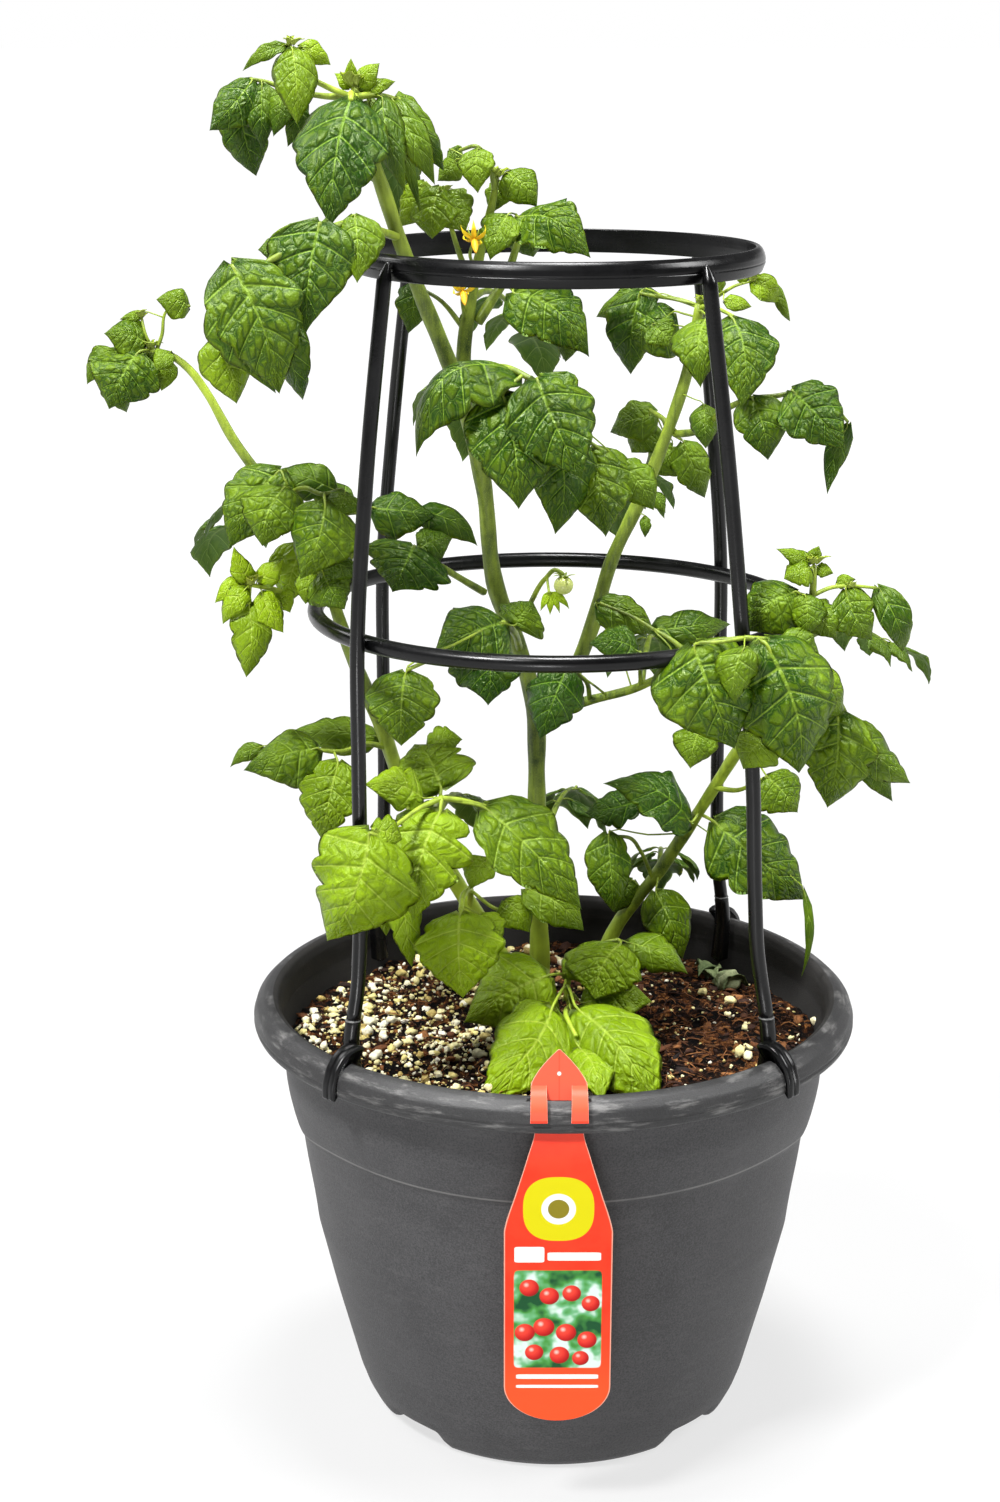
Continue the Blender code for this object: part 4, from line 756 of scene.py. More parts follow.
class Graph(Nodes):
    """A material's nodes, with short calls for those that the finishes use."""

    def __init__(self, name: str, roughness: float, specular: float = 0.5) -> None:
        """Makes a material whose shader has one roughness and specular level.

        Args:
            name: the material's name.
            roughness: the shader's roughness.
            specular: its specular level.
        """
        self.material = bpy.data.materials.new(name)
        self.material.use_nodes = True
        super().__init__(self.material.node_tree)
        self.shader = self.tree.nodes["Principled BSDF"]
        self.fill(self.shader, {"Roughness": roughness, "Specular IOR Level": specular})
        self.place = self.add("ShaderNodeTexCoord", {}, "Object")

    def mix(self, share: Term, a: Any, b: Any) -> Value:
        """Mixes two colours by a share from 0 to 1."""
        a, b = [(*c, 1.0) if isinstance(c, tuple) else c for c in (a, b)]
        return self.add("ShaderNodeMix", {0: share, 6: a, 7: b}, 2, data_type="RGBA")

    def ramp(self, value: Value, stops: Sequence[tuple[float, Colour]]) -> Value:
        """Looks a colour up among (place, colour) stops.

        Args:
            value: the place to look at.
            stops: the stops, in order.

        Returns:
            The colour.
        """
        made = self.node("ShaderNodeValToRGB", {0: value})
        while len(made.color_ramp.elements) < len(stops):
            made.color_ramp.elements.new(0.5)
        for element, (place, colour) in zip(made.color_ramp.elements, stops):
            element.position, element.color = place, (*colour, 1.0)
        return Value(self, made.outputs[0])

    def noise(self, scale: float, detail: float = 3.0, roughness: float = 0.5,
              place: Optional[Value] = None) -> Value:
        """Gives smooth noise from 0 to 1, at a scale per metre."""
        return self.add("ShaderNodeTexNoise", {"Vector": place or self.place, "Scale": scale,
                                               "Detail": detail, "Roughness": roughness}, "Fac")

    def cells(self, scale: float, feature: str = "DISTANCE_TO_EDGE", place: Optional[Value] = None,
              output: int = 0) -> Value:
        """Gives a value of Voronoi cells, at a scale per metre."""
        return self.add("ShaderNodeTexVoronoi", {"Vector": place or self.place, "Scale": scale}, output,
                        feature=feature)

    def bump(self, height: Value, strength: float, distance: float, under: Optional[Value] = None) -> Value:
        """Turns a height from 0 to 1 into a bent normal, distance metres deep.

        Args:
            height: the height.
            strength: how much of it counts.
            distance: its depth in metres.
            under: the normal to start from, if any.

        Returns:
            The bent normal.
        """
        below = {"Normal": under} if under else {}
        return self.add("ShaderNodeBump", {"Height": height, "Strength": strength,
                                           "Distance": distance, **below})

    def stretched(self, *scale: float) -> Value:
        """Gives the place with each axis scaled, which draws a pattern out where scale is small."""
        return self.add("ShaderNodeMapping", {"Vector": self.place, "Scale": scale})

    def tone(self) -> list[Value]:
        """Gives the three tone values of the surface."""
        return self.split(self.add("ShaderNodeAttribute", {}, "Vector", attribute_name="tone"))

    def leaf(self) -> Value:
        """Gives the place on a leaf."""
        return self.add("ShaderNodeUVMap", {}, uv_map="leaf")

    def finish(self, colour: Value, roughness: Optional[Value] = None, normal: Optional[Value] = None,
               **others: Any) -> Material:
        """Joins what is given to the shader.

        Args:
            colour: the base colour.
            roughness: the roughness, where it varies.
            normal: the bent normal.
            others: a value for each further input, with _ for a space in its name.

        Returns:
            The material.
        """
        given = {"Base Color": colour, "Roughness": roughness, "Normal": normal}
        given.update({name.replace("_", " "): value for name, value in others.items()})
        self.fill(self.shader, {name: value for name, value in given.items() if value is not None})
        return self.material


@dataclass(frozen=True)
class LeafFinish:
    """Leaf skin: green by age, pale midrib and side veins, a fine net, puffed cells and painted shade in the
    creases.
    """

    name: str
    dark: Colour
    pale: Colour
    vein_dark: Colour
    vein_pale: Colour
    roughness: float = 0.40
    relief: float = 0.64
    net: float = 560.0
    # How strongly the creases are painted darker as shade
    crease: float = 0.28
    bud: Colour = (0.27, 0.215, 0.030)

    def make(self) -> Material:
        """Builds the material.

        A vein runs where the vein number, with the stagger of the right side, is whole, and gets
        thinner outwards. The net is the edges of cells, about 2 mm wide. Creases along it and the
        veins are painted darker as shade, most on large and dark leaflets.

        Returns:
            The material.
        """
        g = Graph(self.name, self.roughness, 0.32)
        age, stagger, own = g.tone()
        across, along, _ = g.split(g.leaf())
        out = abs(across)
        number = along + across.math("GREATER_THAN", 0.0) * stagger
        near_vein = abs((number + 0.5).math("FRACT") - 0.5) / (out * -0.045 + 0.075)
        bend = g.noise(120.0, 2.0) * 0.9 - 0.45
        cell = g.add("ShaderNodeCombineXYZ", {0: across * 4.0 + bend, 1: number * 1.7 + bend,
                                              2: own * 40.0})
        branch = g.cells(1.0, place=cell)
        ribs = out.fade(0.012, 0.05, 1.0, 0.0).most(near_vein.fade(0.2, 1.0, 1.0, 0.0))
        ribs = ribs.most(branch.fade(0.005, 0.030, 0.40, 0.0))
        # Painted shade: darker along the net's creases and beside the veins.
        crease_shade = branch.fade(0.02, 0.16, 1.0, 0.0).most(near_vein.fade(1.0, 3.5, 0.7, 0.0))
        large = own.fade(0.20, 0.80, 0.35, 1.0)
        cloud = g.noise(38.0, 3.0, 0.6)
        aged = age + (cloud * 0.80 - 0.40) + out.fade(0.85, 1.0) * 0.10
        # The painted crease shade lowers the blend towards the dark green, most on large, dark leaflets.
        aged = aged - crease_shade * large * age.fade(0.25, 0.75, 1.0, 0.5) * self.crease
        skin = g.mix(aged, self.dark, self.pale)
        fleck = g.noise(900.0, 2.0, 0.5)
        skin = g.mix(fleck.fade(0.45, 0.8, 0.0, 0.15), skin, self.vein_dark)
        skin = g.mix(age.fade(0.90, 1.0, 0.0, 0.8), skin, self.bud)
        colour = g.mix(ribs * 0.85, skin, g.mix(age, self.vein_dark, self.vein_pale))
        puff = branch.fade(0.0, 0.32, 0.0, 0.85) + g.cells(self.net).fade(0.0, 0.30, 0.0, 0.12)
        coarse = g.bump(puff * large - near_vein.fade(0.0, 2.4, 0.5, 0.0), self.relief, 0.0014)
        rough = cloud.fade(0.3, 0.7, self.roughness - 0.06, self.roughness + 0.10)
        normal = g.bump(fleck, 0.2, 0.00010, coarse)
        return g.finish(colour, rough, normal, Specular_Tint=(0.85, 1.0, 0.5, 1.0), Subsurface_Weight=0.06,
                        Subsurface_Radius=(0.9, 1.0, 0.3), Subsurface_Scale=0.001)


@dataclass(frozen=True)
class StemFinish:
    """Stem skin: green that is paler on young growth, with long streaks and fine down."""

    name: str
    dark: Colour
    pale: Colour
    roughness: float = 0.48

    def make(self) -> Material:
        """Builds the material.

        Returns:
            The material.
        """
        g = Graph(self.name, self.roughness, 0.4)
        streak = g.noise(900.0, 3.0, 0.6, g.stretched(0.35, 0.35, 0.05))
        aged = g.tone()[0] + ((g.noise(70.0, 3.0, 0.6) + streak) * 0.9 - 0.97)
        speck = g.noise(2600.0, 2.0, 0.5)
        colour = g.mix(speck.fade(0.5, 0.75, 0.0, 0.45), g.mix(aged, self.dark, self.pale), self.pale)
        normal = g.bump(speck, 0.35, 0.00015, g.bump(streak, 0.4, 0.0003))
        return g.finish(colour, None, normal, Subsurface_Weight=0.08, Subsurface_Radius=(0.9, 1.0, 0.3),
                        Subsurface_Scale=0.002)


@dataclass(frozen=True)
class PlasticFinish:
    """Moulded plastic with a fine grain, slightly cloudy colour, pale scuffs and drawn streaks."""

    name: str
    base: Colour
    cloudy: Colour
    roughness: float
    grain_depth: float
    streaks: float = 0.0
    scuff: float = 0.0
    gloss: float = 0.4
    drawn: tuple[float, float, float] = (1.0, 1.0, 0.05)

    def make(self) -> Material:
        """Builds the material.

        Returns:
            The material.
        """
        g = Graph(self.name, self.roughness, self.gloss)
        cloud = g.noise(26.0, 4.0, 0.6)
        grain = g.noise(900.0, 3.0, 0.65)
        colour = g.mix((cloud * 0.6 + grain * 0.4).fade(0.36, 0.64), self.base, self.cloudy)
        scuffed = g.noise(420.0, 6.0, 0.8).fade(0.66, 0.74, 0.0, self.scuff)
        colour = g.mix(scuffed, colour, (0.30, 0.29, 0.27))
        normal = g.bump(grain, 0.5, self.grain_depth)
        if self.streaks:
            normal = g.bump(g.noise(420.0, 2.0, 0.5, g.stretched(*self.drawn)), 0.5, self.streaks, normal)
        return g.finish(colour, cloud.fade(0.3, 0.7, self.roughness - 0.05, self.roughness + 0.07), normal)


@dataclass(frozen=True)
class PotFinish:
    """Matte dark plastic: fine grain, a pale line along the ledge that is a painted highlight, and scuffs on
    the rim.

    ledge is the height of the ledge at the front and dip how far it sinks at the sides. The inner
    wall, where the radius less slope times the height is under inside, is painted near black as shade.
    """

    base: Colour = (0.026, 0.0255, 0.027)
    cloudy: Colour = (0.060, 0.059, 0.061)
    # Pale colour of the rim's scuffs and of the painted highlight along the ledge
    wear_and_edge_highlight: Colour = (0.150, 0.147, 0.143)
    shaded: Colour = (0.012, 0.012, 0.012)
    # Painted shade on the inner wall above the soil
    inner_shade_colour: Colour = (0.006, 0.005, 0.004)
    ledge: float = 0.1618
    dip: float = 0.0125
    rim: float = 0.206
    slope: float = 0.2222
    inside: float = 0.0927

    def make(self) -> Material:
        """Builds the material.

        Returns:
            The material.
        """
        g = Graph("pot_plastic_grain", 0.56, 0.4)
        x, y, z = g.split(g.place)
        spread = x * x + y * y
        off = abs(((x * x / spread) ** 6.0) * self.dip + z - self.ledge)
        cloud = g.noise(26.0, 4.0, 0.6)
        grain = g.noise(1100.0, 3.0, 0.65)
        colour = g.mix((cloud * 0.35 + grain * 0.65).fade(0.36, 0.64), self.base, self.cloudy)
        on_rim = z.fade(self.rim, self.rim + 0.002)
        colour = g.mix(on_rim * 0.72, colour, self.shaded)
        # A thin pale line along the ledge, broken by the cloud: a painted highlight on the ledge's edge.
        edge = off.fade(0.0003, 0.0009, 0.9, 0.0) * cloud.fade(0.3, 0.5, 0.6, 1.0)
        colour = g.mix(edge, colour, self.wear_and_edge_highlight)
        rubbed = g.noise(170.0, 5.0, 0.7, g.stretched(0.25, 0.25, 1.6)).fade(0.50, 0.72, 0.0, 0.8)
        mark = g.noise(430.0, 6.0, 0.8).fade(0.66, 0.74, 0.0, 0.5)
        colour = g.mix(rubbed.most(mark) * (on_rim * 0.88 + 0.12), colour, self.wear_and_edge_highlight)
        # The inner wall above the soil is painted near black as shade, and is rougher there.
        within = spread.math("SQRT") - z * self.slope - self.inside
        inner_shade = within.fade(0.0008, 0.0015, 0.92, 0.0) * z.fade(0.168, 0.178)
        rough = cloud.fade(0.3, 0.7, 0.52, 0.64) - on_rim * 0.08 + inner_shade * 0.40
        return g.finish(g.mix(inner_shade, colour, self.inner_shade_colour), rough, g.bump(grain, 0.6, 0.00030))


@dataclass(frozen=True)
class PeatFinish:
    """Peat: dark red-brown crumbs with small pale flecks."""

    # The darkest stops fall in the hollows between crumbs: partly the peat's own dark colour, partly painted
    # shade
    stops: tuple = ((0.44, (0.0012, 0.0005, 0.0003)), (0.54, (0.015, 0.0055, 0.0018)),
                    (0.62, (0.080, 0.027, 0.008)), (0.72, (0.30, 0.125, 0.036)))

    def make(self) -> Material:
        """Builds the material.

        Returns:
            The material.
        """
        g = Graph("peat", 0.95, 0.1)
        crumb = g.noise(310.0, 6.0, 0.7)
        shade = g.add("ShaderNodeSeparateColor", {0: g.cells(260.0, "F1", output=1)})
        # Low crumbs, which the bump also sinks, turn near black: partly the peat's colour, partly painted
        # shade in the hollows.
        brown = g.ramp(crumb * 0.7 + shade * 0.3, self.stops)
        colour = g.mix(g.noise(1500.0, 2.0, 0.5).fade(0.70, 0.76, 0.0, 0.7), brown, (0.55, 0.42, 0.26))
        return g.finish(colour, None, g.bump(crumb - g.cells(420.0, "F1") * 0.5, 1.0, 0.0045))


@dataclass(frozen=True)
class GrainFinish:
    """Loose grains: each takes its own tint from a scale of colours, and has a rough skin."""

    name: str
    stops: tuple

    def make(self) -> Material:
        """Builds the material.

        Returns:
            The material.
        """
        g = Graph(self.name, 0.85, 0.3)
        rough = g.noise(900.0, 5.0, 0.7)
        tint = g.tone()[2] + (rough * 0.5 - 0.25)
        # Darker spots round random points of the grain
        dark_spots = g.cells(620.0, "F1").fade(0.15, 0.55, 0.30, 0.0)
        colour = g.mix(dark_spots, g.ramp(tint, self.stops), self.stops[0][1])
        return g.finish(colour, None, g.bump(rough, 0.9, 0.0006))


@dataclass(frozen=True)
class PetalFinish:
    """Petal or stamen: one colour that deepens to another towards the middle, with fine lines."""

    name: str
    edge: Colour
    middle: Colour

    def make(self) -> Material:
        """Builds the material.

        Returns:
            The material.
        """
        g = Graph(self.name, 0.5, 0.35)
        leaf = g.leaf()
        share = g.split(leaf)[1].fade(0.0, 2.5, 1.0, 0.0) + (g.noise(700.0, 3.0, 0.6) * 0.5 - 0.25)
        line = g.add("ShaderNodeTexWave", {"Vector": leaf, "Scale": 3.5, "Distortion": 1.0}, "Fac")
        return g.finish(g.mix(share, self.edge, self.middle), None, g.bump(line, 0.4, 0.0002),
                        Subsurface_Weight=0.15, Subsurface_Radius=(1.0, 0.8, 0.2), Subsurface_Scale=0.001)


@dataclass(frozen=True)
class FruitFinish:
    """Unripe fruit skin: glossy, pale at the blossom end, greener at the shoulders."""

    pale: Colour = (0.50, 0.56, 0.16)
    green: Colour = (0.24, 0.40, 0.05)
    low: float = 0.470
    high: float = 0.481

    def make(self) -> Material:
        """Builds the material.

        Returns:
            The material.
        """
        g = Graph("fruit_skin", 0.24)
        share = g.split(g.place)[2].fade(self.low, self.high) + (g.noise(260.0) * 0.5 - 0.25)
        return g.finish(g.mix(share, self.pale, self.green), None, g.bump(g.noise(1800.0), 0.2, 0.0001),
                        Subsurface_Weight=0.2, Subsurface_Radius=(1.0, 1.0, 0.4), Subsurface_Scale=0.002)


@dataclass(frozen=True)
class BladeGrain:
    """How finely a leaflet is made: side veins, rows for each of them and columns."""

    veins: int
    rows: int
    columns: int

    @staticmethod
    def of(width: float) -> "BladeGrain":
        """Chooses the fineness by a leaflet's width in metres.

        Args:
            width: the width.

        Returns:
            The fineness.
        """
        if width > 0.029:
            return BladeGrain(6, 8, 22)
        if width > 0.0225:
            return BladeGrain(5, 8, 18)
        if width > 0.0135:
            return BladeGrain(5, 6, 12)
        return BladeGrain(4, 4, 10)


@dataclass
class Blade:
    """A toothed, quilted leaflet as a thin closed sheet, with the stalk that it hangs on.

    base and tip are the ends of its midrib, facing is the way its upper face looks, and width and
    turn are in metres and radians. age goes from 0, dark, to 1, pale. root is where its stalk
    leaves the rachis, or None. crinkle scales all its waves.
    """

    base: Array
    tip: Array
    width: float
    facing: Array
    rng: Chance
    age: float = 0.2
    turn: float = 0.0
    arch: float = 0.12
    root: Optional[Array] = None
    crinkle: float = 1.0
    fold: float = 0.0
    fall: float = 0.35
    cut: float = 0.15
    curl: float = 0.1
    tooth: float = 0.05
    thick: float = 0.00035
    # Width, in metres, from which a leaflet shows its relief in full
    LARGE = 0.05

    def axes(self) -> tuple[Array, Array, Array, float]:
        """Finds the directions along, across and out of the leaflet, and its length.

        Returns:
            The three unit vectors and the length.
        """
        chord = self.tip - self.base
        length = float(np.linalg.norm(chord))
        along = chord / length
        normal = unit(self.facing - along * (self.facing @ along))
        across = np.cross(along, normal)
        cos, sin = np.cos(self.turn), np.sin(self.turn)
        return along, cos * across - sin * normal, cos * normal + sin * across, length

    def surface(self, grain: BladeGrain, stagger: float) -> tuple[Array, Array, Array]:
        """Shapes the upper face.

        With k the number of the vein, a row leaves the midrib at v = (k / veins)^0.95 of the length
        and meets the margin further on, at t = v + 0.68 v^0.6 (1 - v) - 0.05 (1 - v)^4. With u from
        -1 to 1 across and s = |u|, a point lies at v + (t - v)(0.7 s + 0.3 s^2) of the length and
        at u half across, where half is half the width times (t + 0.055)^0.7 (1 - t)^taper, scaled to
        1 at its widest, less a notch at a few of the veins' gaps, which is deepest near the base.
        Height adds the arch, a tip that curls down, sides that fall away like a roof, a groove
        along the midrib, quilts between the veins, ruffles that grow with s^3 and puckers.

        Args:
            grain: the fineness.
            stagger: how far the right side's veins are shifted, as a share of their spacing.

        Returns:
            The points (rows, columns, 3), the vein numbers (rows, columns) and u (columns).
        """
        rng, size = self.rng, self.crinkle
        along, across, normal, length = self.axes()
        k = np.linspace(0.0, grain.veins, grain.veins * grain.rows + 1)[:, None]
        u = np.linspace(-1.0, 1.0, grain.columns + 1)[None, :]
        s = np.abs(u)
        v = (k / grain.veins) ** 0.95
        right = (u > 0).astype(int)
        kk = k + right * stagger
        vein = np.abs(np.cos(np.pi * kk))
        t = v + 0.68 * v ** 0.6 * (1 - v) - 0.05 * (1 - v) ** 4
        body = (t + 0.055) ** 0.7 * (1 - t) ** rng.uniform(1.1, 1.35)
        body = body / body.max()
        plump = np.sqrt(np.clip(body, 0, 1))
        gap = np.floor(kk).astype(int)
        wild = rng.choice((0.0, 0.25, 1.0), (2, grain.veins + 1))[right, gap]
        deep = self.cut * wild * np.clip(1.15 - 1.3 * v, 0, 1)
        lobe = 1 - deep * (1 - vein ** 0.6) - self.tooth * (1 - vein) * (1.1 - v)
        uneven = 1 + rng.uniform(-0.10, 0.10, 2)[right]
        half = self.width / 2 * 1.06 * body * lobe * uneven
        share = v + (t - v) * (0.7 * s + 0.3 * s * s)
        x = length * share
        bow = rng.uniform(-0.10, 0.10)
        y = u * half + length * bow * 4 * share * (1 - share)
        z = self.arch * length * 4 * share * (1 - share)
        z = z - self.curl * length * np.clip(share - 0.5, 0, 1) ** 2 * 4
        z = z + half * (self.fold * s - self.fall * s ** 1.5)
        z = z - 0.0013 * np.exp(-(s * half / 0.0016) ** 2) * (1 - v)
        puff = np.sin(np.pi * s ** 0.75) ** 0.6 * plump
        calm = np.clip(self.width / 0.040, 0.30, 1.0)
        z = z + size * 0.036 * calm * self.width * np.abs(np.sin(np.pi * kk)) * puff
        phase = rng.uniform(0, 2 * np.pi, 8)
        lift = np.sin(2 * np.pi * rng.uniform(1.0, 1.8) * v + phase[right])
        lift = lift + 0.45 * np.sin(2 * np.pi * grain.veins * 0.7 * v + phase[2 + right])
        z = z + size * 0.20 * half * s ** 3 * lift * (1.2 - v)
        fine = np.sin(x / 0.0030 + phase[4] + 1.3 * np.sin(y / 0.004)) * np.sin(y / 0.0026 + phase[5])
        z = z + size * 0.00028 * calm * fine * np.sin(np.pi * s ** 0.7) * plump
        twist = rng.uniform(-0.35, 0.35) * (share - 0.3)
        y, z = y * np.cos(twist), z + y * np.sin(twist)
        points = self.base + x[..., None] * along + y[..., None] * across + z[..., None] * normal
        return points, np.broadcast_to(k, x.shape), u[0]

    def sheet(self) -> tuple[Array, list[Array], Array, tuple[float, ...], Array]:
        """Makes both faces of the leaflet.

        The lower face follows the upper one, thick below it and closing on it at the margin, and
        stands out along the midrib as a rib.

        Returns:
            The points, two arrays of faces for the upper face and two for the lower one, the
            places on the leaf, the tone and the upper face's grid of points.
        """
        grain = BladeGrain.of(self.width)
        stagger = float(self.rng.choice((0.0, 0.5)))
        top, k, u = self.surface(grain, stagger)
        rows, columns = k.shape
        out = unit(np.cross(np.gradient(top, axis=1), np.gradient(top, axis=0)))
        out[-1] = out[-2]
        wide = np.linalg.norm(top - top[:, columns // 2][:, None], axis=-1)
        rib = min(self.width * 0.028, 0.0011) * (1.05 - k / grain.veins)
        depth = self.thick * (1 - np.abs(u)[None, :] ** 8)
        depth = depth + rib * np.exp(-(wide / (rib * 1.1 + 1e-5)) ** 2)
        low = top - out * depth[..., None]
        body = rows - 1
        peak = body * columns
        upper = np.arange(peak).reshape(body, columns)
        lower = upper.copy()
        inner = (body - 1) * (columns - 2)
        lower[1:, 1:-1] = peak + 1 + np.arange(inner).reshape(body - 1, columns - 2)
        points = np.concatenate([top[:-1].reshape(-1, 3), top[-1, :1], low[1:-1, 1:-1].reshape(-1, 3)])
        places = np.stack([np.broadcast_to(u, (rows, columns)), k], axis=-1)
        leaf = np.concatenate([places[:-1].reshape(-1, 2), places[-1, columns // 2][None],
                               places[1:-1, 1:-1].reshape(-1, 2)])
        faces = []
        for index, order in ((upper, 1), (lower, -1)):
            corners = [index[:-1, :-1], index[:-1, 1:], index[1:, 1:], index[1:, :-1]]
            last = [index[-1, :-1], index[-1, 1:], np.full(columns - 1, peak)]
            faces += [np.stack(corners, axis=-1).reshape(-1, 4)[:, ::order],
                      np.stack(last, axis=-1)[:, ::order]]
        tone = (self.age, stagger, min(self.width / self.LARGE, 1.0) + 0.03 * self.rng.uniform())
        return points, faces, leaf, tone, top

    def add_to(self, skin: Skin) -> None:
        """Adds the leaflet and its stalk to a skin whose materials are upper, lower and stem.

        Args:
            skin: the skin.
        """
        points, faces, leaf, tone, top = self.sheet()
        skin.patch(points, faces, (0, 0, 1, 1), leaf, tone)
        if self.root is not None:
            self.add_stalk(skin, top, tone)

    def add_plain(self, skin: Skin, number: int, own: Optional[float] = None) -> None:
        """Adds the leaflet alone, all in one material.

        Args:
            skin: the skin.
            number: the number of the material.
            own: its own tint, or None for a drawn one.
        """
        points, faces, leaf, _, _ = self.sheet()
        tint = self.rng.uniform() if own is None else own
        skin.patch(points, faces, number, leaf, (self.age, 0.0, tint))

    def add_stalk(self, skin: Skin, top: Array, tone: Sequence[float]) -> None:
        """Adds the short stalk from the rachis into the back of the midrib.

        Args:
            skin: the skin.
            top: the upper face's grid of points.
            tone: the leaflet's tone.
        """
        middle = top[:, top.shape[1] // 2]
        normal = self.axes()[2]
        thick = float(np.clip(self.width * 0.020, 0.00035, 0.0009))
        reach = np.linalg.norm(self.base - self.root)
        sag = 0.12 * reach * normal
        inside = middle[max(2, len(middle) // 9)] - normal * thick * 1.1
        path = smooth_path([self.root, (self.root + self.base) / 2 + sag,
                            self.base - normal * thick * 0.9, inside], 9)
        points, faces = tube(path, thick * np.linspace(1.15, 0.75, len(path)), 7)
        skin.patch(points, faces, 2, None, (tone[0] * 0.5 + 0.4, 0.0, tone[2]))


# Where the plant is paler or darker than it is elsewhere: pixel, radius in pixels and how much.
# A negative amount darkens it; the one at (568, 745) is painted shade on the leaves and stem that
# lie in shadow behind the main stem.
PALE_AND_SHADED_PLACES = (
    (380, 860, 130, 0.46), (470, 800, 80, 0.27), (560, 1040, 110, 0.70), (250, 585, 62, 0.85),
    (465, 960, 80, 0.45), (330, 80, 60, 0.18), (160, 320, 60, 0.22), (745, 295, 60, 0.40),
    (820, 565, 50, 0.35), (560, 590, 40, 0.30), (480, 190, 70, 0.22), (820, 880, 70, 0.25),
    # (568, 745, 75, -0.30) is painted shade behind the main stem
    (830, 720, 110, 0.12), (690, 970, 40, 0.25), (568, 745, 75, -0.30),
    (390, 215, 45, 0.45), (210, 395, 40, 0.60), (500, 790, 70, -0.12), (730, 760, 40, 0.30),
    (745, 690, 110, 0.10), (556, 604, 16, 0.90), (352, 80, 34, 0.45), (300, 50, 30, 0.25),
    (640, 480, 70, 0.15), (340, 165, 50, -0.08),
)


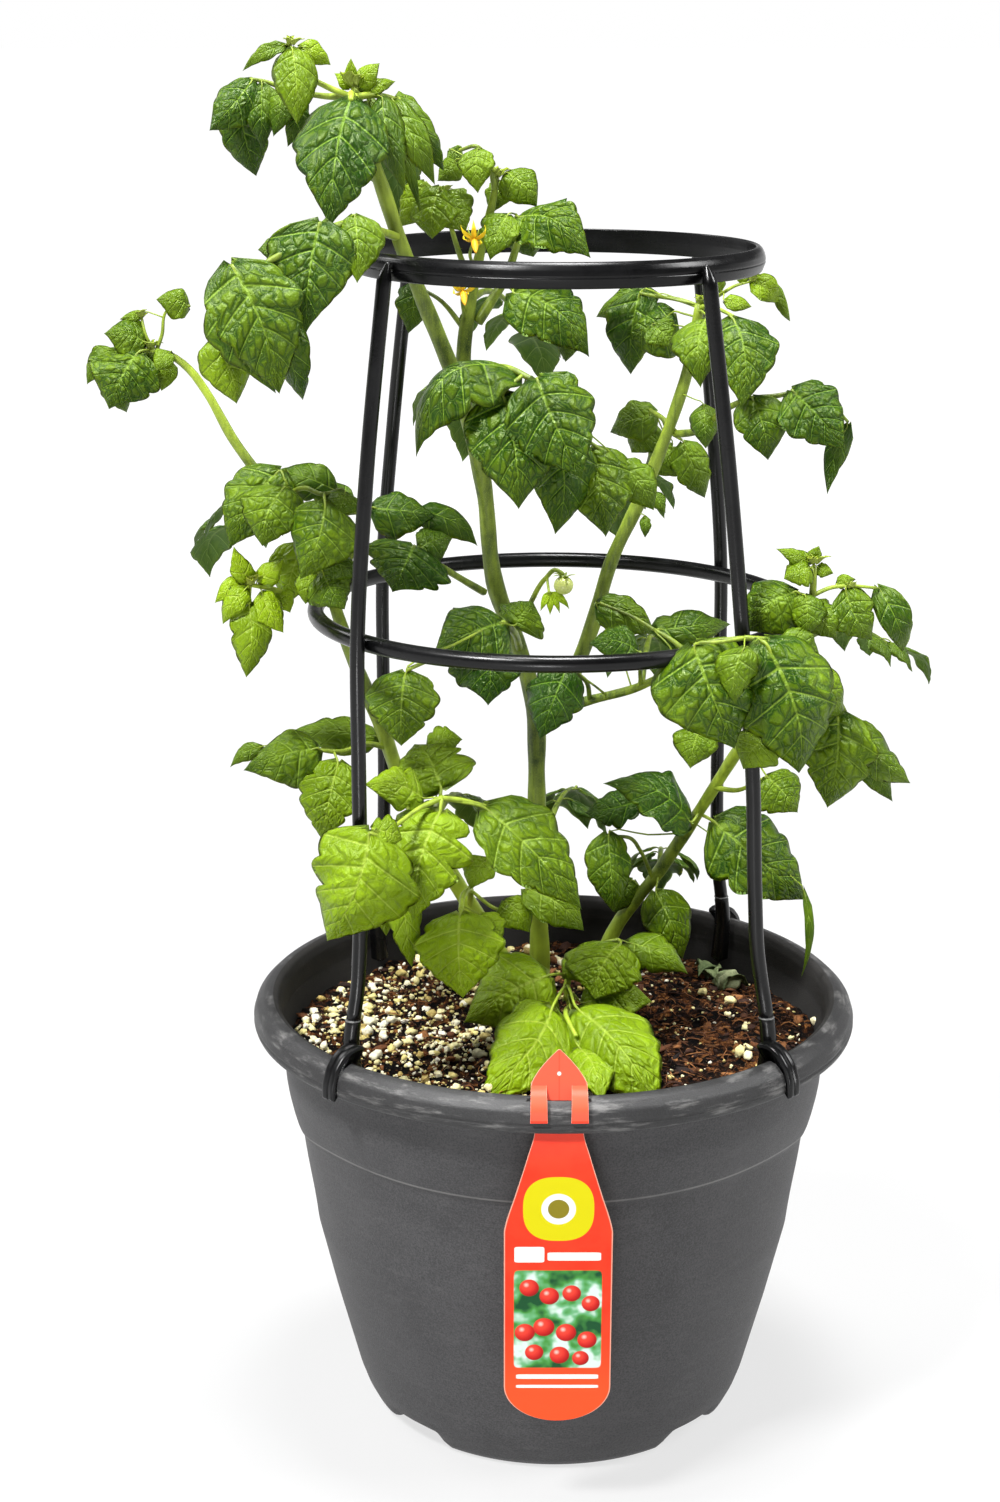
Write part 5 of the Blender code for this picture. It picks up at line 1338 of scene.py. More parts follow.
@dataclass
class Plant:
    """The stems with their leaves, each node of the frame as one finer piece.

    materials are those of upper faces, lower faces and stems. skin and rng are those of the piece
    that is being built.
    """

    materials: tuple[Material, Material, Material]
    skin: Optional[Skin] = None
    rng: Optional[Chance] = None
    # Stem radius above which a stem has this many sides, in metres
    SIDES = ((0.0038, 20), (0.0022, 14), (0.0012, 10), (0.0, 8))
    # Height, in metres, at which a rooted stem starts below the soil's surface
    FOOT = 0.1855
    # A frond's leaflets: place along it, side and size as a share of its length
    FROND = ((0.52, -1, 0.45), (0.58, 1, 0.45), (0.80, -1, 0.4), (0.86, 1, 0.4), (1, 0, 0.62))

    @staticmethod
    def age_at(u: Array, v: Array) -> Array:
        """Tells how pale the plant is at a pixel or at many, from 0 to 1, darker where the table paints
        shade.

        Args:
            u: pixels from the picture's left edge.
            v: pixels from its top edge.

        Returns:
            The ages.
        """
        age = 0.16
        for pu, pv, reach, more in PALE_AND_SHADED_PLACES:
            age = age + more * np.exp(-((u - pu) ** 2 + (v - pv) ** 2) / (reach * reach))
        return np.clip(age, 0.0, 0.86)

    @staticmethod
    def notches(u: float, v: float, common: float) -> float:
        """Tells how deep the margins are cut at a pixel.

        The pale lower leaves are cut deeper, and the base sprout has hardly any common notches.

        Args:
            u: pixels from the picture's left edge.
            v: pixels from its top edge.
            common: the depth elsewhere.

        Returns:
            The depth, as a share of half the width.
        """
        lobed = 0.26 * float(np.exp(-((u - 390) ** 2 + (v - 850) ** 2) / 110 ** 2))
        kept = 1.0 - 0.95 * float(np.exp(-((u - 560) ** 2 + (v - 1050) ** 2) / 90 ** 2))
        return common * kept + lobed

    @staticmethod
    def facing(point: Array) -> Array:
        """Finds the way an upper face looks where the picture shows it: to the viewer and up."""
        return unit(unit(np.array(VIEW.eye) - point) + (0, 0, 0.45))

    def add_stem(self, points: Array, radii: Array, ages: Array) -> Array:
        """Adds a stem through points.

        Args:
            points: (n, 3) points.
            radii: (n,) radii there, in metres.
            ages: (n,) ages there, or one for all.

        Returns:
            (m, 5) points, radii and ages along its smooth path.
        """
        sides = next(count for least, count in self.SIDES if radii[0] > least)
        reach = path_length(points)
        count = int(np.clip(reach / (radii.mean() * 1.3), 8, 150))
        path = smooth_path(np.column_stack([points, radii, np.broadcast_to(ages, len(points))]), count)
        along = np.linspace(0, reach, count)
        swell = 1 + 0.05 * np.sin(along / 0.011 + self.rng.uniform(0, 6)) + 0.04 * np.sin(along / 0.0047)
        made, faces = tube(path[:, :3], path[:, 3] * swell, sides, 0.04)
        ring = np.minimum(np.arange(len(made)) // sides, count - 1)
        tone = np.column_stack([path[ring, 4], 0 * ring, 0 * ring + self.rng.uniform()])
        self.skin.patch(made, faces, 2, None, tone)
        return path

    def add_hairs(self, path: Array) -> None:
        """Adds fine down to a stem: three-sided spikes that stand square to it.

        Args:
            path: (n, 5) points, radii and ages of the stem.
        """
        rng, dense, wide = self.rng, 420.0, 0.00006
        count = int(path_length(path[:, :3]) * dense * (0.5 + path[:, 3].mean() / 0.003))
        at = rng.uniform(0.02, 0.98, count) * (len(path) - 1)
        low = at.astype(int)
        share = (at - low)[:, None]
        spots = path[low, :4] * (1 - share) + path[low + 1, :4] * share
        way = unit(path[low + 1, :3] - path[low, :3])
        out = unit(np.cross(way, rng.normal(size=(count, 3))))
        lean = unit(out + 0.35 * rng.normal(size=(count, 3)))
        foot = spots[:, :3] + out * spots[:, 3:] * 0.9
        long = rng.uniform(0.0007, 0.0017, count)[:, None]
        turn = np.cross(way, out)
        corners = [foot + wide * (np.cos(a) * way + np.sin(a) * turn) for a in (0.0, 2.1, 4.2)]
        points = np.stack(corners + [foot + lean * long], axis=1).reshape(-1, 3)
        first = np.arange(count)[:, None] * 4
        sides = ((0, 1, 3), (1, 2, 3), (2, 0, 3), (2, 1, 0))
        faces = np.concatenate([first + np.array(side) for side in sides])
        self.skin.patch(points, [faces], 2, None, (min(path[:, 4].mean() + 0.35, 1.0), 0.0, 0.5))

    def add_leaf(self, leaf: Leaflet, rachis: Array) -> None:
        """Adds a leaflet with its stalk, which leaves the rachis where that is nearest.

        Args:
            leaf: the leaflet.
            rachis: (n, 5) points, radii and ages of the stem that carries it.
        """
        rng = self.rng
        base = VIEW.sight(leaf.base_u, leaf.base_v, leaf.base_near)
        tip = VIEW.sight(leaf.tip_u, leaf.tip_v, leaf.tip_near)
        u, v = (leaf.base_u + leaf.tip_u) / 2, (leaf.base_v + leaf.tip_v) / 2
        age = float(np.clip(self.age_at(u, v) + rng.uniform(-0.08, 0.08), 0.02, 0.88))
        Blade(base, tip, leaf.width * MM, self.facing(base), rng, age,
              turn=np.radians(leaf.turn), arch=leaf.arch, root=polyline_spot(rachis[:, :3], base),
              crinkle=rng.uniform(0.9, 1.3) - 0.5 * age, fold=rng.uniform(-0.05, 0.12),
              fall=rng.uniform(0.30, 0.75), cut=self.notches(u, v, rng.uniform(0.03, 0.18)),
              curl=rng.uniform(0.0, 0.22), tooth=rng.uniform(0.03, 0.11)).add_to(self.skin)

    def add_frond(self, frond: Frond) -> None:
        """Adds a compound leaf of five leaflets that heads away and droops.

        At a share s of its length, its stalk lies length s along the heading and
        2 rise s - 0.55 length s^2 above its start.

        Args:
            frond: where it starts, heads and ends.
        """
        rng = self.rng
        start = VIEW.sight(*frond.start)
        way = around(1, 0, frond.heading)
        aside = np.cross(way, UP)
        length, rise = frond.length * MM, frond.rise * MM
        share = np.linspace(0, 1, 5)[:, None]
        path = start + way * length * share
        path[:, 2:] += 2 * rise * share - 0.55 * length * share ** 2
        self.add_hairs(self.add_stem(path, np.linspace(0.0018, 0.0010, 5), 0.35))
        for place, turn, size in self.FROND:
            spot = np.array([np.interp(place, share[:, 0], path[:, k]) for k in range(3)])
            heading = way * (0.55 if turn else 1.0) + aside * turn * 0.85
            base = spot + heading * 0.006
            tip = base + heading * length * size * 0.62 - UP * length * size * 0.62
            Blade(base, tip, length * size * 0.56, unit(UP + heading), rng, rng.uniform(0.12, 0.3),
                  root=spot, crinkle=rng.uniform(0.8, 1.2), fold=rng.uniform(-0.1, 0.1)).add_to(self.skin)

    def add_tip(self, tip: Tip) -> None:
        """Adds a growing tip: small leaves, folded along their midribs, in a loose spiral.

        Each leaf turns 2.4 radians further round than the last, leans further out and is larger.

        Args:
            tip: where it is, its size and how many leaves it has.
        """
        rng = self.rng
        middle = VIEW.sight(*tip.at)
        for index in range(tip.count):
            angle = index * 2.4 + rng.uniform(-0.2, 0.2)
            lean = 0.35 + 0.8 * index / tip.count
            way = np.array([np.cos(angle) * np.sin(lean), np.sin(angle) * np.sin(lean), np.cos(lean)])
            size = tip.size * MM * rng.uniform(0.55, 1.0) * (0.5 + 0.5 * index / tip.count)
            base = middle + way * size * 0.15
            end = base + way * size - UP * 0.12 * size * lean
            facing = unit(UP - way * 0.3 + 0.2 * rng.normal(size=3))
            Blade(base, end, size * 0.55, facing, rng, tip.tone, arch=rng.uniform(0.1, 0.3),
                  root=middle, crinkle=1.6, fold=0.5).add_to(self.skin)

    def build(self, node: str, growth: Growth, seed: int) -> Piece:
        """Builds the piece that stands for one node.

        Args:
            node: the node's name.
            growth: what it grows.
            seed: the start of its chance numbers.

        Returns:
            The piece.
        """
        self.rng, self.skin = np.random.default_rng(seed), Skin()
        for index, stalk in enumerate(growth.stalks):
            points = np.array([VIEW.sight(*p) for p in stalk.points])
            radii = np.linspace(*stalk.radii, len(points)) * MM
            u, v = np.array([p[:2] for p in stalk.points]).T
            ages = 0.22 + 0.9 * self.age_at(u, v)
            if index == 0 and growth.rooted:
                points = np.concatenate([[(*points[0][:2], self.FOOT)], points])
                radii = np.concatenate([radii[:1] * 1.15, radii])
                ages = np.concatenate([ages[:1], ages])
            path = self.add_stem(points, radii, ages)
            self.add_hairs(path)
            for row in stalk.leaves:
                self.add_leaf(Leaflet(*row), path)
        for frond in growth.fronds:
            self.add_frond(frond)
        for tip in growth.tips:
            self.add_tip(tip)
        return settle(self.skin.build(node + "_leafy", self.materials), node)


@dataclass
class Flower:
    """An open flower that looks down and forward: five swept petals, sepals and a stamen cone."""

    at: tuple[float, float, float]
    reach: float
    look: tuple[float, float, float] = (0.1, -0.8, -0.6)
    # The stamen cone: distance from the middle and radius, in metres
    CONE = ((0, 0.0012), (0.003, 0.0016), (0.006, 0.0012), (0.0085, 0.0004))
    # Petals and sepals: material, first angle in degrees, length and width as shares of reach
    WHORLS = ((0, 18, 1.0, 0.30), (2, 54, 0.62, 0.14))

    def build(self, node: str, materials: Sequence[Material], seed: int) -> Piece:
        """Builds the flower.

        Args:
            node: the node that it stands for.
            materials: petal, a second petal slot that no face uses, sepal and stamens.
            seed: the start of its chance numbers.

        Returns:
            The piece.
        """
        rng = np.random.default_rng(seed)
        skin = Skin()
        look = unit(self.look)
        side = unit(np.cross(look, UP))
        up = np.cross(side, look)
        middle = VIEW.sight(*self.at) + look * 0.0011
        cone = smooth_path(np.array(self.CONE)[:, [0, 1, 0, 0]], 10)
        points, faces = tube(middle + cone[:, :1] * look, cone[:, 1], 15, 0.12)
        skin.patch(points, faces, 3, None, (0.5, 0, rng.uniform()))
        for number, shift, size, width in self.WHORLS:
            for angle in np.radians(np.arange(5) * 72 + shift):
                way = np.cos(angle) * side + np.sin(angle) * up
                base = middle + way * 0.0010 - look * 0.0003 * number
                tip = middle + (way - look * rng.uniform(0.5, 1.2)) * self.reach * size
                Blade(base, tip, self.reach * width, look, rng, 0.6, arch=rng.uniform(0.10, 0.2),
                      crinkle=0.3, fold=0.2, fall=0.1, cut=0.0, curl=0.3, tooth=0.0,
                      thick=0.0002).add_plain(skin, number)
        return settle(skin.build(node + "_petals", materials), node)


@dataclass(frozen=True)
class PotSizes:
    """Profile of the pot as (radius, height), outside from below and inside from above.

    edge is how far its corners are rounded and span how long a stretch of it is at most. step_reach
    and step_z are the heights from which and at which the step sinks, outside step_radius, and
    foot is where the base's rounded edge starts and ends.
    """

    outer: tuple = (
        (0.0780, 0.0000), (0.0915, 0.0000), (0.0950, 0.0035), (0.0988, 0.0110), (0.1020, 0.0200),
        (0.1046, 0.0300), (0.1130, 0.0620), (0.1223, 0.1010), (0.1290, 0.1590), (0.1308, 0.1618),
        (0.1320, 0.1650), (0.1336, 0.1700), (0.1358, 0.1775), (0.1371, 0.1832), (0.1378, 0.1900),
        (0.1386, 0.1960), (0.1396, 0.2020), (0.1412, 0.2056), (0.1522, 0.2066), (0.1531, 0.2096),
        (0.1525, 0.2106), (0.1531, 0.2118), (0.1515, 0.2170), (0.1475, 0.2208), (0.1435, 0.2220),
        (0.1405, 0.2205))
    inner: tuple = ((0.1392, 0.2160), (0.1385, 0.2060), (0.1305, 0.1700), (0.1258, 0.1560),
                    (0.1095, 0.0630), (0.0860, 0.0065))
    middle: float = 0.0001
    floor: float = 0.0060
    edge: float = 0.0012
    span: float = 0.006
    step_z: tuple[float, float] = (0.158, 0.164)
    step_reach: tuple[float, float] = (0.105, 0.203)
    step_radius: float = 0.1228
    step_dip: float = 0.0125
    foot: tuple[float, float] = (0.004, 0.012)
    foot_radius: float = 0.0785
    notches: tuple[float, ...] = (-48.0, 48.0, -132.0, 132.0)
    notch_half: float = 13.0
    notch_rise: float = 0.0055


@dataclass
class Pot:
    """Round pot with a rolled rim, a moulded step, a notched base and the tag's slot."""

    finish: Material
    sizes: PotSizes = PotSizes()
    SEGMENTS = 180
    # The slot: half its width, its thickness, and its lower and upper end
    SLOT = (0.0145, 0.0016, 0.19, 0.235)

    def shifted(self, points: Array) -> Array:
        """Lowers the step at the sides and lifts the edge of the base at the notches.

        The step sinks by step_dip times sin(azimuth)^12, less and less above and below it. At a
        notch the edge rises by notch_rise, over notch_half degrees to each side of its middle.

        Args:
            points: (n, 3) points, which are changed.

        Returns:
            The same points.
        """
        s = self.sizes
        radius = np.hypot(points[:, 0], points[:, 1])
        azimuth = np.degrees(np.arctan2(points[:, 0], -points[:, 1]))
        height = points[:, 2].copy()
        low, high = s.step_reach
        step = np.interp(height, (low, *s.step_z, high), (0, 1, 1, 0)) * (radius > s.step_radius)
        step = step * step * (3 - 2 * step)
        points[:, 2] -= s.step_dip * step * np.sin(np.radians(azimuth)) ** 12
        foot = np.interp(height, s.foot, (1, 0)) * (radius > s.foot_radius)
        for notch in s.notches:
            off = np.abs((azimuth - notch + 180) % 360 - 180)
            points[:, 2] += s.notch_rise * foot * np.clip((s.notch_half - off) / 4, 0, 1)
        return points

    def build(self) -> Piece:
        """Builds the pot, with the slot cut through its rim.

        Returns:
            The piece.
        """
        s = self.sizes
        profile = rounded(s.outer + s.inner, s.edge, 3)
        spans = [np.array([(s.middle, 0.0)])]
        for a, b in zip(profile, profile[1:]):
            count = max(int(np.linalg.norm(b - a) / s.span), 1)
            spans.append(a + (b - a) * np.linspace(0, 1, count, endpoint=False)[:, None])
        profile = np.concatenate([*spans, profile[-1:], [(s.middle, s.floor)]])
        points, faces = turned(profile, self.SEGMENTS)
        skin = Skin()
        skin.patch(self.shifted(points), faces)
        piece = skin.build("pot_shell", [self.finish], 50)
        self.cut_slot(piece)
        return settle(piece, "pot")

    def cut_slot(self, piece: Piece) -> None:
        """Cuts the slot that the tag's neck goes through.

        Args:
            piece: the pot.
        """
        half, thick, low, high = self.SLOT
        corners = [(x, slot_y(z) + side * thick / 2, z) for z in (low, high)
                   for x, side in ((-half, -1), (half, -1), (half, 1), (-half, 1))]
        faces = [(3, 2, 1, 0), (4, 5, 6, 7), (0, 1, 5, 4), (1, 2, 6, 5), (2, 3, 7, 6), (3, 0, 4, 7)]
        cutter = Skin()
        cutter.patch(corners, [faces])
        tool = cutter.build("slot_cutter", [self.finish])
        step = piece.modifiers.new("slot", "BOOLEAN")
        step.operation, step.object, step.solver = "DIFFERENCE", tool, "EXACT"
        bake(piece)
        bpy.data.objects.remove(tool)


def bake(piece: Piece) -> None:
    """Applies a piece's modifiers to its mesh.

    Args:
        piece: the piece.
    """
    bpy.context.view_layer.update()
    graph = bpy.context.evaluated_depsgraph_get()
    made = bpy.data.meshes.new_from_object(piece.evaluated_get(graph))
    piece.modifiers.clear()
    piece.data = made


def slot_y(height: float) -> float:
    """Tells where the middle of the tag's slot lies at a height."""
    return -0.1444 - (0.2300 - height) * 0.1525


@dataclass(frozen=True)
class CageSizes:
    """The cage: hoops, legs and the clips that hold them on the rim.

    legs are the azimuths, in degrees, of each leg at the top hoop, the middle hoop and the clip.
    strap is the outline of a strap as (radius, height), and strap_rows are the levels across its
    width, as shares of it, with how far the outline is drawn in there.
    """

    top_radius: float = 0.0987
    top_z: float = 0.5963
    top_high: float = 0.0118
    top_thick: float = 0.0046
    middle_radius: float = 0.1218
    middle_z: float = 0.4200
    middle_thick: float = 0.0080
    hoop_segments: int = 240
    leg_radius: float = 0.0035
    point_radius: float = 0.0008
    legs: tuple = (("front_left", (-51.0, -47.8, -47.4)), ("front_right", (40.5, 42.3, 49.5)),
                   ("back_left", (-135.0, -135.0, -135.0)), ("back_right", (135.0, 135.0, 135.0)))
    seam_radius: float = 0.1322
    seam_z: float = 0.2380
    socket_radius: float = 0.0038
    strap: tuple = ((0.1345, 0.2280), (0.1372, 0.2290), (0.1430, 0.2290), (0.1482, 0.2262),
                    (0.1532, 0.2205), (0.1558, 0.2130), (0.1558, 0.2060), (0.1534, 0.2050),
                    (0.1534, 0.2112), (0.1519, 0.2173), (0.1478, 0.2225), (0.1428, 0.2264),
                    (0.1376, 0.2266), (0.1345, 0.2254))
    strap_rows: tuple = ((-0.5, 0.0006), (-0.44, 0.0001), (-0.28, 0.0), (-0.12, 0.0002), (-0.06, 0.0009),
                         (0.06, 0.0009), (0.12, 0.0002), (0.28, 0.0), (0.44, 0.0001), (0.5, 0.0006))
    strap_wide: float = 0.0078
    strap_turn: float = 2.9
    gap: float = 0.0003


@dataclass
class Cage:
    """Black cage of two hoops on four legs, clipped to the pot's rim."""

    finish: Material
    band: Material
    seam: Material
    sizes: CageSizes = CageSizes()

    def build_top_hoop(self) -> Piece:
        """Builds the flat band, whose outer face rises to a low ridge along its middle.

        Returns:
            The piece.
        """
        s = self.sizes
        out, z, h = s.top_radius, s.top_z, s.top_high
        corners = [(out - s.top_thick, z), (out - s.top_thick, z - h), (out - 0.0020, z - h),
                   (out - 0.0014, z - 0.94 * h), (out, z - 0.62 * h), (out - 0.0004, z - 0.57 * h),
                   (out, z - 0.52 * h), (out - 0.0005, z - 0.30 * h), (out - 0.0015, z - 0.12 * h),
                   (out - 0.0030, z)]
        made = turned(rounded(corners, 0.0006, 3), s.hoop_segments)
        return whole("top_hoop_band", made, self.band, "cage_top_hoop", 60)

    def build_middle_hoop(self) -> Piece:
        """Builds the round bar, with the flat line where its mould halves met.

        Returns:
            The piece.
        """
        s = self.sizes
        angle = ring_angles(28)
        radius = s.middle_thick / 2 * (1 - 0.012 * np.cos(4 * angle))
        profile = np.stack([s.middle_radius - s.middle_thick / 2 + radius * np.cos(angle),
                            s.middle_z + radius * np.sin(angle)], axis=1)
        made = turned(profile, s.hoop_segments)
        return whole("middle_hoop_bar", made, self.finish, "cage_middle_hoop")

    def leg_path(self, azimuths: tuple[float, float, float]) -> Array:
        """Finds the points of a leg from its seam to its point on the top hoop.

        Args:
            azimuths: degrees at the top hoop, the middle hoop and the clip.

        Returns:
            (10, 3) points.
        """
        s = self.sizes
        top, middle, low = azimuths
        return np.array([
            around(s.seam_radius - 0.0001, s.seam_z + 0.0004, low),
            around(s.seam_radius - 0.0006, s.seam_z + 0.0034, low),
            around(0.1298, 0.2500, low),
            around(0.1278, 0.2700, 0.85 * low + 0.15 * middle),
            around(0.1265, 0.3000, 0.75 * low + 0.25 * middle),
            around(0.1262, 0.3600, (low + middle) / 2),
            around(s.middle_radius + s.leg_radius + s.gap, s.middle_z, middle),
            around(0.1160, 0.5000, (middle + top) / 2),
            around(s.top_radius + s.leg_radius + s.gap, s.top_z - s.top_high + 0.0005, top),
            around(s.top_radius + 0.0014, s.top_z - 0.0030, top)])

    def build_leg(self, place: str, azimuths: tuple[float, float, float]) -> Piece:
        """Builds a round leg that ends in a point on the upper hoop.

        Args:
            place: its place, as in the node's name.
            azimuths: degrees at the top hoop, the middle hoop and the clip.

        Returns:
            The piece.
        """
        s = self.sizes
        route, count = self.leg_path(azimuths), 110
        share = np.linspace(0, 1, 10)[1:, None]
        path = np.concatenate([smooth_path(route[:-1], count), route[-2] + (route[-1] - route[-2]) * share])
        taper = s.leg_radius + (s.point_radius - s.leg_radius) * share[:, 0] ** 1.3
        made = tube(path, np.concatenate([np.full(count, s.leg_radius), taper]), 22)
        return whole("leg_rod_" + place, made, self.finish, "cage_leg_" + place)

    def add_socket(self, skin: Skin, azimuth: float) -> None:
        """Adds the socket inside the rim and the pale seam on top of it.

        Args:
            skin: the skin.
            azimuth: where it stands, in degrees.
        """
        s = self.sizes
        count, sides, radius = 22, 24, s.socket_radius
        path = smooth_path([around(s.seam_radius, s.seam_z, azimuth), around(0.1336, 0.2290, azimuth),
                            around(0.1318, 0.2030, azimuth)], count)
        radii = np.interp(np.linspace(0, 1, count), (0, 0.04, 0.08, 0.13, 1.0),
                          (radius * 0.92, radius * 1.02, radius, radius, radius + 0.0009))
        skin.patch(*tube(path, radii, sides), 0)
        seam = [around(s.seam_radius + 0.0001, s.seam_z + z, azimuth) for z in (-0.0002, 0.0, 0.0002)]
        skin.patch(*tube(seam, np.array([1, 1.02, 1]) * radius * 1.01, sides), 1)

    def add_strap(self, skin: Skin, azimuth: float) -> None:
        """Adds the strap that hooks over the rim, its outline swept across its width.

        Args:
            skin: the skin.
            azimuth: where the clip stands, in degrees.
        """
        s = self.sizes
        outline = rounded(s.strap, 0.0024, 4)
        count = len(outline)
        turn = np.radians(azimuth - s.strap_turn * np.sign(np.sin(2 * np.radians(azimuth))))
        outward = outline_normals(outline)
        rows = [np.column_stack([outline - outward * drawn_in, np.full(count, level * s.strap_wide)])
                for level, drawn_in in s.strap_rows]
        r, z, x = np.moveaxis(np.array(rows), -1, 0)
        sin, cos = np.sin(turn), np.cos(turn)
        placed = np.stack([r * sin + x * cos, x * sin - r * cos, z], axis=-1)
        cap = np.arange(count)[None, :]
        skin.patch(placed.reshape(-1, 3), [grid_faces(len(rows), count, True), cap[:, ::-1],
                                           cap + (len(rows) - 1) * count])

    def build_clip(self, place: str, azimuth: float) -> Piece:
        """Builds the socket inside the rim and the strap that hooks over it.

        Args:
            place: its place, as in the node's name.
            azimuth: where it stands, in degrees.

        Returns:
            The piece.
        """
        skin = Skin()
        self.add_socket(skin, azimuth)
        self.add_strap(skin, azimuth)
        piece = skin.build("clip_strap_" + place, [self.finish, self.seam], 45)
        return settle(piece, "rim_clip_" + place)


def outline_normals(outline: Array) -> Array:
    """Finds the outward direction at each point of a closed outline, in its plane.

    Args:
        outline: (n, 2) points.

    Returns:
        (n, 2) unit vectors.
    """
    way = unit(np.roll(outline, -1, axis=0) - np.roll(outline, 1, axis=0))
    area = np.sum(outline[:, 0] * np.roll(outline[:, 1], -1) - outline[:, 1] * np.roll(outline[:, 0], -1))
    return np.stack([way[:, 1], -way[:, 0]], axis=1) * np.sign(area)


@dataclass(frozen=True)
class TagFinish:
    """Printed sheet: orange-red, with plain shapes in yellow, white, green and red on its body.

    emblem holds the rounded shapes about its middle: (half width, half height, power, softness,
    colour). bars are (x, z, half width, half height) and fruit are (x, z, radius), in metres.
    """

    red: Colour = (0.78, 0.034, 0.010)
    red_light: Colour = (0.83, 0.044, 0.014)
    orange: Colour = (0.84, 0.080, 0.018)
    coral: Colour = (0.80, 0.082, 0.040)
    pale: Colour = (0.68, 0.38, 0.28)
    white: Colour = (0.84, 0.82, 0.76)
    gap: Colour = (0.72, 0.68, 0.62)
    slot_z: float = 0.2200
    emblem_z: float = 0.1677
    emblem: tuple = ((0.0165, 0.0167, 2.6, 0.012, (0.61, 0.55, 0.0)),
                     (0.0080, 0.0080, 2.0, 0.03, (0.84, 0.84, 0.80)),
                     (0.0050, 0.0050, 2.0, 0.04, (0.22, 0.18, 0.01)))
    bars: tuple = ((-0.0135, 0.1435, 0.0070, 0.0042), (0.0075, 0.1425, 0.0125, 0.0022),
                   (0.0, 0.0765, 0.0195, 0.0012), (0.0, 0.0712, 0.0195, 0.0008))
    panel: tuple = (0.0, 0.1082, 0.0207, 0.0268)
    fruit: tuple = ((-0.0135, 0.1255, 0.0046), (-0.0040, 0.1210, 0.0046), (0.0065, 0.1225, 0.0044),
                    (0.0155, 0.1170, 0.0043), (-0.0155, 0.1010, 0.0048), (-0.0065, 0.1040, 0.0050),
                    (0.0040, 0.1010, 0.0048), (0.0140, 0.0970, 0.0046), (-0.0110, 0.0900, 0.0044),
                    (0.0010, 0.0885, 0.0047), (0.0110, 0.0868, 0.0040))
    leafage: tuple = ((0.33, (0.008, 0.07, 0.022)), (0.45, (0.06, 0.27, 0.05)),
                      (0.53, (0.15, 0.42, 0.20)), (0.62, (0.62, 0.76, 0.68)))
    ripe: tuple = ((0.0, (0.95, 0.55, 0.48)), (0.22, (0.80, 0.06, 0.035)),
                   (0.70, (0.50, 0.012, 0.010)), (1.0, (0.20, 0.004, 0.005)))

    def make(self) -> Material:
        """Builds the material.

        Each shape is a place where a distance, worked out from Object coordinates, is small: an
        ellipse, bars, and a panel of round red fruit on a green ground.

        Returns:
            The material.
        """
        g = Graph("tag_print", 0.38, 0.15)
        x, y, z = g.split(g.place)

        def blob(cx: float, cz: float, rx: float, rz: float, power: float = 2.0) -> Value:
            """Gives (dx^p + dz^p)^(1/p), which is 1 on the edge of a rounded shape."""
            return (abs((x - cx) / rx) ** power + abs((z - cz) / rz) ** power) ** (1.0 / power)

        def inside(distance: Value, soft: float = 0.012) -> Value:
            """Gives 1 where a distance is under 1."""
            return distance.fade(1.0 - soft, 1.0 + soft, 1.0, 0.0)

        red = g.mix(g.noise(90.0, 3.0, 0.5).fade(0.3, 0.7), self.red, self.red_light)
        red = g.mix(z.fade(0.060, 0.115, 1.0, 0.0), red, self.orange)
        colour = red
        for rx, rz, power, soft, tint in self.emblem:
            colour = g.mix(inside(blob(0.0, self.emblem_z, rx, rz, power), soft), colour, tint)
        for bar in self.bars:
            colour = g.mix(inside(blob(*bar, 12.0), 0.02), colour, self.white)
        ground = g.ramp(g.noise(95.0, 2.0, 0.55), self.leafage)
        for cx, cz, size in self.fruit:
            shine = blob(cx - size * 0.3, cz + size * 0.35, size * 1.5, size * 1.5)
            ground = g.mix(inside(blob(cx, cz, size, size), 0.05), ground, g.ramp(shine, self.ripe))
        colour = g.mix(inside(blob(*self.panel, 24.0)), colour, ground)
        head = z.fade(self.slot_z - 0.0060, self.slot_z - 0.0058)
        fold = abs(x).fade(0.0001, 0.0005, 0.6, 0.0) * head
        hole = inside(blob(0.0, self.slot_z + 0.0132, 0.0009, 0.0009), 0.2)
        back = g.mix(fold, g.mix(head, red, self.coral), red)
        colour = g.mix(head, colour, g.mix(hole, back, self.gap))
        colour = g.mix(y.fade(-0.1395, -0.1390, 1.0, 0.0), back, colour)
        edge = abs(g.split(g.leaf())[0]).fade(0.972, 0.984, 0.0, 0.8)
        return g.finish(g.mix(edge, colour, self.pale), None,
                        g.bump(g.noise(1400.0, 2.0, 0.5), 0.15, 0.00008))


